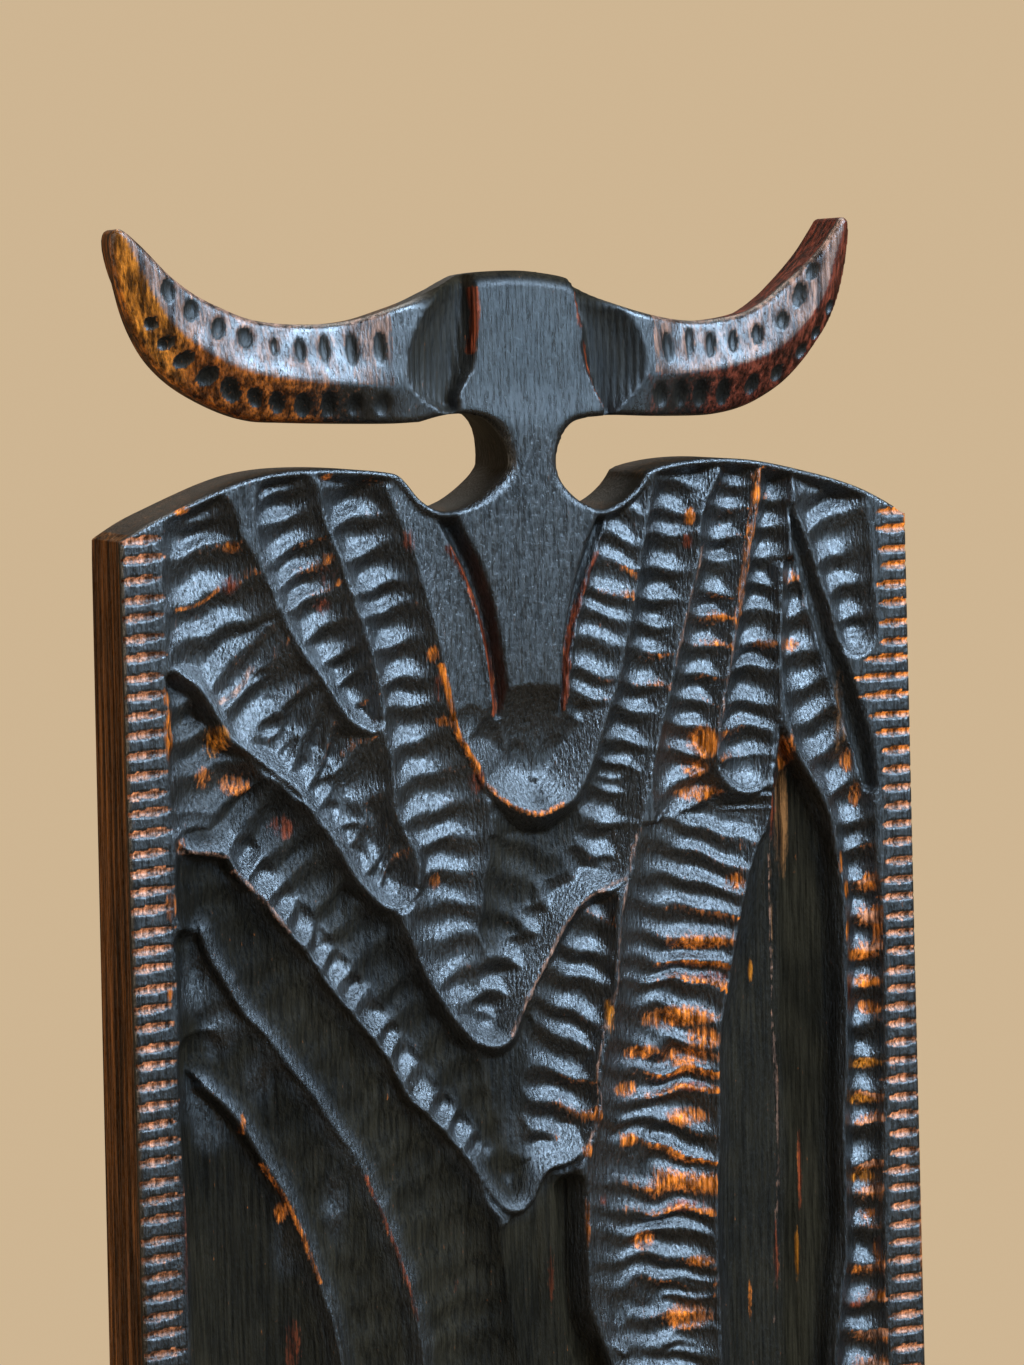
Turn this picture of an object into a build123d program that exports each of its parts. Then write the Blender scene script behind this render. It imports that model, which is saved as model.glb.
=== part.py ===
"""Carved plank with a horned bull's-head finial, hung on two D-ring hangers.

Frame, in millimetres: +X to the viewer's right, +Y from the carved front to the back,
+Z up. The origin is under the middle of the plank, on its straight bottom end.
"""

import os

from build123d import *

# ---- plank -------------------------------------------------------------------
FRONT_Y = -23.0
BACK_Y = 17.0
THICKNESS = BACK_Y - FRONT_Y
HALF_WIDTH = 150.0  # at the shoulders, and down the front left edge
BACK_HALF_WIDTH = 150.5  # at the shoulders
HALF_FOOT = 154.5  # the back face spreads to this at the foot of the blank
FRONT_RIGHT_FOOT = 154.0
SHOULDER_Z = 480.5
BLANK_TOP_Z = 525.0  # the sawn blank, before its shoulders and foot are trimmed
BLANK_FOOT_Z = -10.0

# ---- carved field ------------------------------------------------------------
FIELD_DEPTH = 4.0
GROUND_DEPTH = 2.0  # the two plain grounds, below the field's floor
FIELD_FOOT_Z = 34.0
NOTCH_X = 150.0  # the gouge cuts down each edge
NOTCH_LENGTH = 15.0
NOTCH_PITCH = 7.0
NOTCH_COUNT = 63
NOTCH_TOP_Z = 481.0
NOTCH_RADIUS = 2.2
NOTCH_DEPTH = 1.4

# ---- horns and head ----------------------------------------------------------
HORN_FRONT_Y = -18.0
HORN_BACK_Y = 13.0
HEAD_FRONT_Y = -22.0
HEAD_BACK_Y = 15.0

# ---- hangers -----------------------------------------------------------------
HANGER_X = 100.0
HANGER_Z = 425.0  # height of the ring's pivot
STRAP_WIDTH = 16.0
STRAP_LAYER = 1.2  # the strap is one strip folded over the ring's bar
STRAP_LENGTH = 38.0
BARREL_OUTER = 2.9
BARREL_INNER = 1.6
PIVOT_Y = BACK_Y + BARREL_OUTER
RING_WIRE = 1.5
RING_HALF_WIDTH = 11.5
RING_CORNER = 3.0
RING_STRAIGHT = 6.5
RING_LEAN = 3.0  # degrees towards the plank when the ring stands up
SCREW_DROPS = (9.0, 30.0)  # from the pivot down to each strap screw

# ---- bumpers -----------------------------------------------------------------
BUMPER_X = 126.0
BUMPER_HIGH_Z = 458.0
BUMPER_LOW_Z = 32.0
BUMPER_HEIGHT = 6.0
BUMPER_RADIUS = 9.0
BUMPER_FACE_RADIUS = 8.0
BUMPER_POCKET_RADIUS = 4.6
BUMPER_FLOOR = 2.4  # rubber left under the washer
WASHER_RADIUS = 4.4
WASHER_THICK = 0.8

# ---- screws ------------------------------------------------------------------
SHANK_RADIUS = 1.75
PILOT_RADIUS = 1.8
SHANK_HOLE_RADIUS = 2.1
STRAP_SCREW_LENGTH = 14.0
STRAP_HEAD_RADIUS = 3.5
STRAP_HEAD_HEIGHT = 2.0
BUMPER_SCREW_LENGTH = 15.0
BUMPER_HEAD_RADIUS = 3.3
BUMPER_HEAD_HEIGHT = 1.8
CROSS_WIDTH = 1.0
CROSS_SPAN = 3.6
CROSS_DEPTH = 1.1
PILOT_END_GAP = 0.5

SIDES = {"left": -1, "right": 1}
STRAP_FACE_Y = BACK_Y + 2 * STRAP_LAYER
WASHER_Y = BACK_Y + BUMPER_FLOOR
BUMPER_SEAT_Y = WASHER_Y + WASHER_THICK
BUMPERS = {
    "bumper_top_left": (-BUMPER_X, BUMPER_HIGH_Z),
    "bumper_top_right": (BUMPER_X, BUMPER_HIGH_Z),
    "bumper_bottom_left": (-BUMPER_X, BUMPER_LOW_Z),
    "bumper_bottom_right": (BUMPER_X, BUMPER_LOW_Z),
}
STRAP_SCREWS = [(side * HANGER_X, HANGER_Z - drop) for side in SIDES.values() for drop in SCREW_DROPS]

# ---- outlines, as (x, z) -----------------------------------------------------
LEFT_SHOULDER = [(-160, 474), (-150, 480.5), (-130, 491), (-110, 499), (-88, 503.5), (-66, 503.5), (-48, 501)]
LEFT_NOTCH = [(-48, 501), (-40, 491.5), (-30, 487), (-17, 491), (-6, 500), (-5.5, 509), (-12, 518), (-22, 522)]
RIGHT_NOTCH = [(24, 520), (16, 513.5), (13.4, 503), (19, 491.7), (30, 485.6), (42, 491.5), (48.5, 499.3)]
RIGHT_SHOULDER = [(48.5, 499.3), (64, 502.5), (87, 502.3), (109, 497), (131, 490.6), (150, 480.5), (160, 472)]

LEFT_HORN_UNDER = [(-20, 521), (-50, 519), (-87, 520.2), (-109, 525), (-131, 540), (-143, 560), (-149, 587)]
LEFT_HORN_TOP = [(-146, 589.2), (-128, 572.5), (-108, 560.6), (-82, 554.8), (-54, 557), (-31, 566)]
HEAD_TOP = [(-31, 566), (-16, 572), (0, 572.6), (18, 570), (30, 563)]
RIGHT_HORN_TOP = [(30, 563), (50, 556.3), (72, 553.2), (91, 556), (106, 565), (119, 577.5), (128, 589.6)]
RIGHT_HORN_UNDER = [(130.5, 588.5), (129.5, 567), (120, 545), (106, 529), (87, 520.5), (58, 518.5), (22, 519.5)]

FIELD_LEFT_TOP = [
    (-134, FIELD_FOOT_Z), (-134, 482), (-112, 494), (-88, 499.5), (-66, 499.5), (-51, 496), (-42, 484),
    (-30, 482),
]
TONGUE = [(-18, 466), (-11, 443), (-8, 418), (12, 418), (15, 443), (22, 466)]
FIELD_RIGHT_TOP = [
    (31, 481), (43, 484), (51, 494.5), (66, 498.5), (87, 498), (109, 493), (134, 481), (134, FIELD_FOOT_Z),
]
RIGHT_GROUND = [
    (97, 398), (84, 350), (76, 310), (71, 250), (68, FIELD_FOOT_Z), (122, FIELD_FOOT_Z), (121, 300), (118, 365),
    (108, 388),
]
LEFT_GROUND = [
    (-132, 330), (-112, 312), (-95, 285), (-72, 245), (-55, 210), (-46, 180), (-44, FIELD_FOOT_Z),
    (-132, FIELD_FOOT_Z),
]
HEAD_PLATE = [(-28, 521), (-31, 545), (-20, 567), (0, 569), (18, 566), (29, 545), (27, 520)]


def front_sketch(depth=0.0):
    """The plank's front plane, or one behind it by depth."""
    return Plane.XZ.offset(-FRONT_Y - depth)


def back_plane(x, z, y=BACK_Y):
    """A plane facing the wall, centred on one fastener."""
    return Plane((x, y, z), x_dir=(-1, 0, 0), z_dir=(0, 1, 0))


# ---- the one piece of timber ---------------------------------------------------
with BuildPart() as blank:
    with BuildSketch(front_sketch()):
        with BuildLine():
            Polyline(
                (-HALF_WIDTH, BLANK_FOOT_Z),
                (FRONT_RIGHT_FOOT, BLANK_FOOT_Z),
                (HALF_WIDTH, SHOULDER_Z),
                (HALF_WIDTH, BLANK_TOP_Z),
                (-HALF_WIDTH, BLANK_TOP_Z),
                close=True,
            )
        make_face()
    with BuildSketch(front_sketch(THICKNESS)):
        with BuildLine():
            Polyline(
                (-HALF_FOOT, BLANK_FOOT_Z),
                (HALF_FOOT, BLANK_FOOT_Z),
                (BACK_HALF_WIDTH, SHOULDER_Z),
                (BACK_HALF_WIDTH, BLANK_TOP_Z),
                (-BACK_HALF_WIDTH, BLANK_TOP_Z),
                close=True,
            )
        make_face()
    loft(ruled=True)

with BuildPart() as carved_board:
    add(blank.part)
    # flat foot, arched shoulders, the two round notches and the neck between them
    with BuildSketch(front_sketch()):
        with BuildLine():
            Spline(LEFT_SHOULDER)
            Spline(LEFT_NOTCH)
            Line(LEFT_NOTCH[-1], RIGHT_NOTCH[0])
            Spline(RIGHT_NOTCH)
            Spline(RIGHT_SHOULDER)
            Polyline(RIGHT_SHOULDER[-1], (160, 0), (-160, 0), LEFT_SHOULDER[0])
        make_face()
    extrude(amount=-THICKNESS, mode=Mode.INTERSECT)

    # recessed field on each side of the tongue that runs down from the neck
    with BuildSketch(front_sketch()):
        with BuildLine():
            Polyline(*FIELD_LEFT_TOP, *TONGUE, *FIELD_RIGHT_TOP, close=True)
        make_face()
    extrude(amount=-FIELD_DEPTH, mode=Mode.SUBTRACT)

    # plain grounds, cut deeper than the field
    for ground in (LEFT_GROUND, RIGHT_GROUND):
        with BuildSketch(front_sketch(FIELD_DEPTH)):
            with BuildLine():
                Polyline(*ground, close=True)
            make_face()
        extrude(amount=-GROUND_DEPTH, mode=Mode.SUBTRACT)

    # gouge cuts down both edges, each a short round-bottomed groove run out through the side
    for side in SIDES.values():
        with BuildSketch(Plane.YZ.offset(side * NOTCH_X - NOTCH_LENGTH)):
            for row in range(NOTCH_COUNT):
                with Locations((FRONT_Y + NOTCH_DEPTH - NOTCH_RADIUS, NOTCH_TOP_Z - row * NOTCH_PITCH)):
                    Circle(NOTCH_RADIUS)
        extrude(amount=2 * NOTCH_LENGTH, mode=Mode.SUBTRACT)

    # head, and the two swept horns on either side of it
    with BuildSketch(Plane.XZ.offset(-HORN_FRONT_Y)):
        with BuildLine():
            Spline(LEFT_HORN_UNDER)
            Line(LEFT_HORN_UNDER[-1], LEFT_HORN_TOP[0])
            Spline(LEFT_HORN_TOP)
            Spline(HEAD_TOP)
            Spline(RIGHT_HORN_TOP)
            Line(RIGHT_HORN_TOP[-1], RIGHT_HORN_UNDER[0])
            Spline(RIGHT_HORN_UNDER)
            Line(RIGHT_HORN_UNDER[-1], LEFT_HORN_UNDER[0])
        make_face()
    extrude(amount=HORN_FRONT_Y - HORN_BACK_Y)
    with BuildSketch(Plane.XZ.offset(-HEAD_FRONT_Y)):
        with BuildLine():
            Polyline(*HEAD_PLATE, close=True)
        make_face()
    extrude(amount=HEAD_FRONT_Y - HEAD_BACK_Y)

    # pilot holes for the hangers' and the bumpers' screws
    for x, z in STRAP_SCREWS:
        with Locations(back_plane(x, z)):
            Hole(PILOT_RADIUS, depth=STRAP_SCREW_LENGTH + PILOT_END_GAP - 2 * STRAP_LAYER)
    for x, z in BUMPERS.values():
        with Locations(back_plane(x, z)):
            Hole(PILOT_RADIUS, depth=BUMPER_SCREW_LENGTH + PILOT_END_GAP - BUMPER_SEAT_Y + BACK_Y)
carved_board.part.label = "carved_board"


# ---- hangers -------------------------------------------------------------------
def hanger_strap(x):
    """A folded strap: two layers flat on the plank, curled round the ring's bar."""
    with BuildPart() as strap:
        with BuildSketch(Plane.YZ.offset(x - STRAP_WIDTH / 2)):
            with Locations((PIVOT_Y, HANGER_Z)):
                Circle(BARREL_OUTER)
            with Locations((BACK_Y, HANGER_Z)):
                Rectangle(2 * STRAP_LAYER, STRAP_LENGTH, align=(Align.MIN, Align.MAX))
            with Locations((PIVOT_Y, HANGER_Z)):
                Circle(BARREL_INNER, mode=Mode.SUBTRACT)
        extrude(amount=STRAP_WIDTH)
        foot = strap.edges().filter_by(Axis.Y).group_by(Axis.Z)[0]
        fillet(foot, radius=5.0)
        for drop in SCREW_DROPS:
            with Locations(back_plane(x, HANGER_Z - drop, STRAP_FACE_Y)):
                Hole(SHANK_HOLE_RADIUS, depth=2 * STRAP_LAYER)
    return strap.part


def hanger_ring(x):
    """A D-ring of round wire, standing up and leaning back on the plank."""
    ring_plane = Plane((x, PIVOT_Y, HANGER_Z), x_dir=(1, 0, 0), z_dir=(0, -1, 0)).rotated((RING_LEAN, 0, 0))
    flat = RING_HALF_WIDTH - RING_CORNER
    bend = RING_CORNER * (1 - 0.5**0.5)
    with BuildPart() as ring:
        with BuildLine(ring_plane) as path:
            Line((-flat, 0), (flat, 0))
            ThreePointArc((flat, 0), (RING_HALF_WIDTH - bend, bend), (RING_HALF_WIDTH, RING_CORNER))
            Line((RING_HALF_WIDTH, RING_CORNER), (RING_HALF_WIDTH, RING_STRAIGHT))
            ThreePointArc(
                (RING_HALF_WIDTH, RING_STRAIGHT),
                (0, RING_STRAIGHT + RING_HALF_WIDTH),
                (-RING_HALF_WIDTH, RING_STRAIGHT),
            )
            Line((-RING_HALF_WIDTH, RING_STRAIGHT), (-RING_HALF_WIDTH, RING_CORNER))
            ThreePointArc((-RING_HALF_WIDTH, RING_CORNER), (bend - RING_HALF_WIDTH, bend), (-flat, 0))
        with BuildSketch(Plane((x - flat, PIVOT_Y, HANGER_Z), x_dir=(0, 1, 0), z_dir=(1, 0, 0))):
            Circle(RING_WIRE)
        sweep(path=path.wires()[0])
    return ring.part


def pan_screw(x, z, seat_y, length, head_radius, head_height):
    """A pan-head wood screw, its head on seat_y and its point in the plank."""
    with BuildPart() as screw:
        with BuildSketch(back_plane(x, z, seat_y)):
            Circle(head_radius)
        extrude(amount=head_height)
        fillet(screw.edges().filter_by(GeomType.CIRCLE).sort_by(Axis.Y)[-1], radius=head_height * 0.6)
        with BuildSketch(back_plane(x, z, seat_y)):
            Circle(SHANK_RADIUS)
        extrude(amount=-length)
        chamfer(screw.edges().filter_by(GeomType.CIRCLE).sort_by(Axis.Y)[0], length=2.4, length2=1.2)
        with BuildSketch(back_plane(x, z, seat_y + head_height)):
            Rectangle(CROSS_SPAN, CROSS_WIDTH)
            Rectangle(CROSS_WIDTH, CROSS_SPAN)
        extrude(amount=-CROSS_DEPTH, mode=Mode.SUBTRACT)
    return screw.part


def bumper(x, z):
    """A turned rubber foot with a pocket for its washer and screw head."""
    with BuildPart() as foot:
        with BuildSketch(back_plane(x, z)):
            Circle(BUMPER_RADIUS)
        with BuildSketch(back_plane(x, z, BACK_Y + BUMPER_HEIGHT)):
            Circle(BUMPER_FACE_RADIUS)
        loft()
        with Locations(back_plane(x, z, BACK_Y + BUMPER_HEIGHT)):
            CounterBoreHole(SHANK_HOLE_RADIUS, BUMPER_POCKET_RADIUS, BUMPER_HEIGHT - BUMPER_FLOOR, BUMPER_HEIGHT)
    return foot.part


def washer(x, z):
    with BuildPart() as plate:
        with BuildSketch(back_plane(x, z, WASHER_Y)):
            Circle(WASHER_RADIUS)
            Circle(SHANK_HOLE_RADIUS, mode=Mode.SUBTRACT)
        extrude(amount=WASHER_THICK)
    return plate.part


os.makedirs("parts", exist_ok=True)
export_step(carved_board.part, "parts/carved_board.step")

for side_name, side in SIDES.items():
    strap_part = hanger_strap(side * HANGER_X)
    strap_part.label = f"hanger_strap_{side_name}"
    export_step(strap_part, f"parts/hanger_strap_{side_name}.step")
    ring_part = hanger_ring(side * HANGER_X)
    ring_part.label = f"hanger_ring_{side_name}"
    export_step(ring_part, f"parts/hanger_ring_{side_name}.step")

for bumper_name, (bumper_x, bumper_z) in BUMPERS.items():
    bumper_part = bumper(bumper_x, bumper_z)
    bumper_part.label = bumper_name
    export_step(bumper_part, f"parts/{bumper_name}.step")

with BuildPart() as hanger_screws:
    for x, z in STRAP_SCREWS:
        add(pan_screw(x, z, STRAP_FACE_Y, STRAP_SCREW_LENGTH, STRAP_HEAD_RADIUS, STRAP_HEAD_HEIGHT))
hanger_screws.part.label = "hanger_screws"
export_step(hanger_screws.part, "parts/hanger_screws.step")

with BuildPart() as bumper_screws:
    for x, z in BUMPERS.values():
        add(pan_screw(x, z, BUMPER_SEAT_Y, BUMPER_SCREW_LENGTH, BUMPER_HEAD_RADIUS, BUMPER_HEAD_HEIGHT))
bumper_screws.part.label = "bumper_screws"
export_step(bumper_screws.part, "parts/bumper_screws.step")

with BuildPart() as bumper_washers:
    for x, z in BUMPERS.values():
        add(washer(x, z))
bumper_washers.part.label = "bumper_washers"
export_step(bumper_washers.part, "parts/bumper_washers.step")
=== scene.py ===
"""The looks of a carved, burnt hardwood plank with a horned bull's head, around its CAD frame.

Carving sizes are in millimetres in the frame's axes: x to the viewer's right, y from the
carved front back to the wall, z up. They become metres where a mesh is made.
"""

import math

import bpy
import numpy as np
from mathutils import Matrix, Vector
from mathutils.kdtree import KDTree


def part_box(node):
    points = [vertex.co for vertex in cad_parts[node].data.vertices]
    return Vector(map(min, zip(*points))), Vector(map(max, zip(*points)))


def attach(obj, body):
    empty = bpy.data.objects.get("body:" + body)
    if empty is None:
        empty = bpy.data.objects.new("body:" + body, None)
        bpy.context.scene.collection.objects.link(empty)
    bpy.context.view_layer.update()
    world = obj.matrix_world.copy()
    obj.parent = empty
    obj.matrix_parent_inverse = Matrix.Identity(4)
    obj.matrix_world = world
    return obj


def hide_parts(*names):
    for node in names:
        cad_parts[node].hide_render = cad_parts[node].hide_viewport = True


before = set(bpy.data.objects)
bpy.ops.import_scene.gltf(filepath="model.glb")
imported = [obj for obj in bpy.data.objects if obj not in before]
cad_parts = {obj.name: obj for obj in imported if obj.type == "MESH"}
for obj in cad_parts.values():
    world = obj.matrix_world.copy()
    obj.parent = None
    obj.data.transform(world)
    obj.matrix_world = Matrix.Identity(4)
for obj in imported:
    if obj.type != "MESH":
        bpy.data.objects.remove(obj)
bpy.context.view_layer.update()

MM = 0.001
FRONT_Y = -23.0
BACK_Y = 17.0
THICK = BACK_Y - FRONT_Y
STEP = 0.8  # spacing of the carved surface's points
BACK_STEP = 3.2
OUTLINE_STEP = 0.4
FINIAL_Z = 512  # the neck, head and horns are above this
LEFT_TIP = (-148, 588)
RIGHT_TIP = (129.5, 588.5)
SCOOP_SEED, NOTCH_SEED, ADZE_SEED, GRAIN_SEED = 7, 11, 23, 31

# ------------------------------------------------------------------ outline, as (x, z)
BODY_LEFT = [(-150, 0), (-150, 160), (-150, 320), (-150, 480.5)]
SHOULDER_LEFT = [
    (-150, 480.5), (-140, 486.5), (-130, 491), (-120, 495.2), (-110, 499), (-100, 501.8), (-88, 503.4),
    (-74, 503.6), (-60, 502.8), (-51, 501.6), (-47.5, 500.4), (-44.5, 497.5), (-40, 492), (-35, 488.4),
    (-30, 487), (-24, 487.8), (-18, 490.4), (-11, 495.4), (-6, 500.5), (-4.8, 505), (-6.4, 511),
    (-10.5, 517), (-17, 521), (-27, 521.7), (-38, 519.2),
]
HORN_LEFT = [
    (-38, 519.2), (-50, 518.9), (-70, 519.4), (-87, 520.2), (-97, 521), (-107, 524), (-118, 529.4),
    (-127, 535.5), (-134.5, 543), (-140, 551.5), (-143.8, 560), (-146.8, 570), (-148.8, 580),
    (-149.2, 586), (-147.8, 588.8), (-144.8, 588.6), (-138, 583), (-128, 573), (-118.5, 566),
    (-108.5, 561), (-99, 557.2), (-89, 555.4), (-79, 554.8), (-69, 554.9), (-59, 556.2), (-49, 559.2),
    (-39, 562.6), (-31, 566), (-22.5, 570), (-15, 572), (0, 572.4), (10, 571.4), (19, 569.6), (23.5, 567),
]
HORN_RIGHT = [
    (23.5, 567), (30, 563.2), (40, 559), (50, 556), (60, 554), (70, 553), (80, 553.5), (90, 555.5),
    (98, 559.5), (104.5, 564.5), (112.5, 571), (119.5, 578), (125, 585.5), (127.6, 589.3), (129.8, 589.2),
    (131, 587), (131.3, 581), (130.4, 572), (127.8, 561), (123.8, 551), (118.8, 543.3), (114, 537),
    (107, 530), (98.4, 524.4), (90.7, 521), (82, 519), (72, 518.3), (52, 518.8), (36, 519.6), (26, 519.2),
]
SHOULDER_RIGHT = [
    (26, 519.2), (20.5, 517.6), (16.4, 513.4), (13.8, 507.5), (13.5, 501), (15.4, 496), (19, 491.7),
    (23.5, 488), (30, 485.6), (36.7, 488), (42, 491.7), (45.6, 495.6), (48, 499), (54, 500.9),
    (64, 502.4), (75.6, 502.8), (87, 502), (98, 500), (109, 497.3), (120, 494.3), (131, 490.4),
    (140, 486), (150, 480),
]
BODY_RIGHT = [(150, 480), (151.3, 320), (152.7, 160), (154, 0)]
BODY_FOOT = [(154, 0), (50, 0), (-50, 0), (-150, 0)]

# ------------------------------------------------------------------ flutes, in millimetres
# Each is a list of stations from top to foot: left bank x, z, then right bank x, z.
OUTER_BAND = [
    (-134.5, 483, -107, 485.5), (-135, 477, -106, 480), (-135.5, 466, -101, 471), (-135, 452, -94, 457),
    (-134, 439, -87, 444), (-122, 427, -79, 433), (-113, 411, -71, 421), (-104, 404, -64, 412),
    (-96, 397, -55, 406), (-87.5, 390, -52, 399), (-81, 380, -51, 389), (-74.5, 371.5, -49, 378),
    (-67.5, 359, -44, 364), (-61, 351, -43, 355),
]
OUTER_BAND_STEPS = [
    (-108, 421, -88, 434), (-101, 402, -82, 414), (-91, 393, -72, 403), (-83, 384, -66, 391),
    (-76, 374, -61, 379), (-68, 360, -54, 366),
]
FLUTE_B = [
    (-101, 491, -77, 493), (-100.5, 485, -75, 486.5), (-99.5, 477, -72, 478), (-97.5, 470, -69, 470),
    (-95, 463.5, -66.5, 462), (-91.5, 453, -63.7, 451), (-86, 441, -60, 441), (-79, 431, -57, 430),
    (-74, 424, -55.5, 422), (-69, 417.5, -54.5, 416),
]
FLUTE_C = [
    (-77, 502, -50, 499), (-74.5, 484, -46.5, 484), (-69, 470, -41.5, 470), (-64, 455, -38, 456),
    (-59.5, 441, -33.7, 441.5), (-56.5, 427, -31, 427), (-55, 412, -29, 411), (-53, 399, -22, 397),
    (-52, 386, -15, 385), (-48.5, 373, -11, 372), (-46, 360, -10, 358), (-47, 346, -10, 344),
    (-46, 333, -9, 332), (-39, 318, -7, 320), (-31, 305, -7, 308),
]
V1_MIDDLE = [(-17, 380, 20, 379), (-20, 368, 28, 366), (-22, 350, 12, 347), (-24, 335, 4, 334)]
V1_RIGHT = [
    (18, 388, 44, 384), (14, 374, 42, 370), (8, 364, 40.5, 357), (-4, 356, 31, 346), (-13, 346, 17, 338),
    (-20, 334, 8.5, 327), (-24, 324, 0, 314), (-27, 312, -6.5, 301),
]
FLUTE_D = [
    (50, 494, 75, 500), (47.8, 485.4, 69.4, 486), (46.3, 477.7, 67.8, 476), (44.8, 470, 67, 468.5),
    (43.2, 460.8, 65.5, 460.8), (41.3, 451.5, 63.2, 452.3), (39.4, 442, 61, 444), (37, 433, 58.6, 436),
    (34.8, 424, 56.7, 427), (31.7, 415.4, 54.8, 417.7), (28.6, 407.7, 51.7, 407.7),
    (25.5, 399, 49.4, 398.5), (22.5, 390, 47, 391), (21, 380, 44, 381), (20, 371, 42, 371),
]
FLUTE_E = [
    (77, 501, 92, 501), (71, 489, 91, 488.5), (68, 478, 89, 479), (67, 468.5, 87, 468),
    (65.5, 460, 85, 459), (63, 451.5, 83, 450), (60.5, 442, 81, 440.8), (58.5, 435, 79.8, 433),
    (56.5, 426, 78.2, 425.4), (54.3, 416, 76.7, 416), (51.7, 407.7, 74.8, 407), (49.4, 398.5, 73.4, 398),
    (47, 391, 74, 389), (45, 384, 82, 380), (43, 377, 94, 374), (41.7, 369, 92.5, 366),
    (39.5, 360, 88.4, 359), (37, 351.5, 84.8, 349), (35, 342, 82.2, 339), (33, 332, 80.2, 329),
    (31.9, 320, 77.8, 319), (31.3, 311, 76, 309), (29.6, 303, 73.8, 301), (27, 294, 71.8, 292),
    (24.6, 284, 71.2, 282), (23.4, 275, 71, 272), (23.6, 266, 71, 262), (20.8, 258, 71, 251),
    (18.4, 249, 70, 242), (18, 238, 69.6, 232), (18, 225, 68.6, 221), (18, 210, 69, 208),
    (19, 196, 69.4, 196), (24, 182, 69.6, 184),
]
WIDE_TAIL = [
    (34, 190, 69.5, 192), (33, 170, 69, 172), (32, 140, 68, 142), (34, 110, 67, 112), (36, 80, 66, 80),
    (40, 52, 64, 52),
]
FLUTE_F = [
    (92, 501, 106, 499), (91, 488.5, 104.5, 488), (89.4, 480.8, 104, 480), (87.8, 473, 103.4, 472),
    (86, 463.8, 102.8, 463), (84.4, 456, 101.8, 455), (82.5, 448.5, 100.6, 448), (81, 440.8, 99.4, 440),
    (79.8, 433, 98.9, 432), (78.2, 425.4, 98.9, 424), (76.7, 417.7, 98.8, 416), (75.2, 410, 98.2, 408),
    (74, 402.3, 97.4, 400), (73.6, 395, 96.6, 393),
]
FLUTE_G = [
    (101, 462, 109, 463), (99.8, 450, 113, 451), (99.2, 440, 115.6, 440), (99, 430, 118, 430),
    (99.6, 419, 121.4, 420), (101, 410, 124.6, 411), (103.5, 400, 128, 403), (108.5, 390, 131, 394),
    (113.5, 382, 133.6, 385), (117.5, 373, 135.4, 375), (119.8, 365, 136, 365), (121, 354, 136, 354),
    (122.4, 342, 137.4, 342), (123.2, 330, 138.2, 330), (123.2, 312, 138.4, 312),
    (122.8, 294, 138.2, 294), (123, 276, 138.4, 276), (121.6, 258, 137.6, 258), (121.2, 238, 136.8, 238),
    (121.6, 220, 137, 220), (121.2, 202, 137, 202), (119, 188, 137.2, 188), (117, 170, 137.4, 170),
    (116, 130, 137.6, 130), (118, 90, 137.8, 90), (121, 54, 138, 54),
]
FLUTE_H = [
    (105, 493, 133, 492), (106.3, 482.3, 134, 482), (108.8, 476, 135, 474), (112, 468.5, 136, 466),
    (114.4, 461, 136.4, 459), (116.6, 454, 136.6, 452), (119, 447.5, 136.8, 447),
    (121.4, 440, 137.2, 441),
]
WALL_GH = [
    (103.4, 484, 106, 484), (104, 470, 111, 470), (108.5, 452, 117.4, 452), (113, 436, 122.4, 436),
    (117.6, 420, 127, 422), (122, 406, 131.6, 408), (127, 392, 135.4, 394), (132, 378, 137, 380),
]
V2_LEFT = [
    (-135.5, 431, -130, 432), (-135.5, 416, -115, 423), (-135, 400, -107, 411), (-133.5, 379, -96, 393),
    (-124, 370.5, -87, 385), (-113.5, 367, -79, 375), (-108, 358, -71, 364), (-99.8, 350, -63, 351),
    (-90.6, 337.7, -52, 343), (-82, 327, -46, 328), (-73, 313.8, -37, 314), (-64.5, 303, -28, 301),
    (-56, 291.5, -20, 292), (-47, 276, -12, 282), (-39, 267.7, -6, 270), (-29, 255.4, -2, 258),
    (-21, 245, 0, 247),
]
V2_STEPS = [
    (-113, 368, -104, 375.5), (-107.5, 358.5, -98, 366), (-99, 349.5, -90, 356), (-90, 338, -81, 344),
    (-81, 326, -72, 331.5), (-72.5, 313.5, -63, 319), (-64, 303, -55, 308), (-55.5, 290.5, -46.5, 296),
    (-47, 276, -38, 281.5), (-38, 267, -29.5, 272.5), (-29, 256, -21, 261),
]
V2_RIGHT = [
    (12, 344, 33, 343), (4, 330, 32.8, 332), (0, 318, 31.8, 320), (-3, 308, 31.4, 310),
    (-6, 298, 29, 299.5), (-9, 289, 26, 290), (-11, 280, 24.4, 281), (-12, 270, 24, 270),
    (-12, 260, 21, 258), (-12, 250, 15, 248),
]
V2_MIDDLE = [(-24, 296, 4, 300), (-26, 284, 2, 286), (-24, 270, 2, 270), (-20, 256, 4, 256)]
V3_LEFT = [
    (-134, 372, -112, 372), (-134, 350, -103, 354), (-128, 340, -95, 343), (-120, 330, -85, 331),
    (-112, 315, -75, 315), (-102, 303.8, -66, 303), (-94.5, 293, -57, 291), (-86.8, 281.5, -48, 277),
    (-79, 270.8, -40, 266), (-71, 259, -31, 254), (-64.5, 247, -23, 243), (-59, 232.3, -18, 232),
    (-54, 219, -14, 220), (-50, 204, -10, 206), (-47, 188, -8, 190), (-45.5, 165, -6, 165),
    (-44, 120, -6, 120), (-42, 80, -8, 80), (-40, 50, -12, 50),
]
V3_MIDDLE = [
    (-22, 242, 3, 244), (-16, 234, 19, 236), (-16, 222, 19, 222), (-14, 205, 18.5, 205),
    (-12, 188, 20, 190), (-8, 160, 30, 160), (-6, 110, 32, 110), (-8, 54, 34, 54),
]
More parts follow.
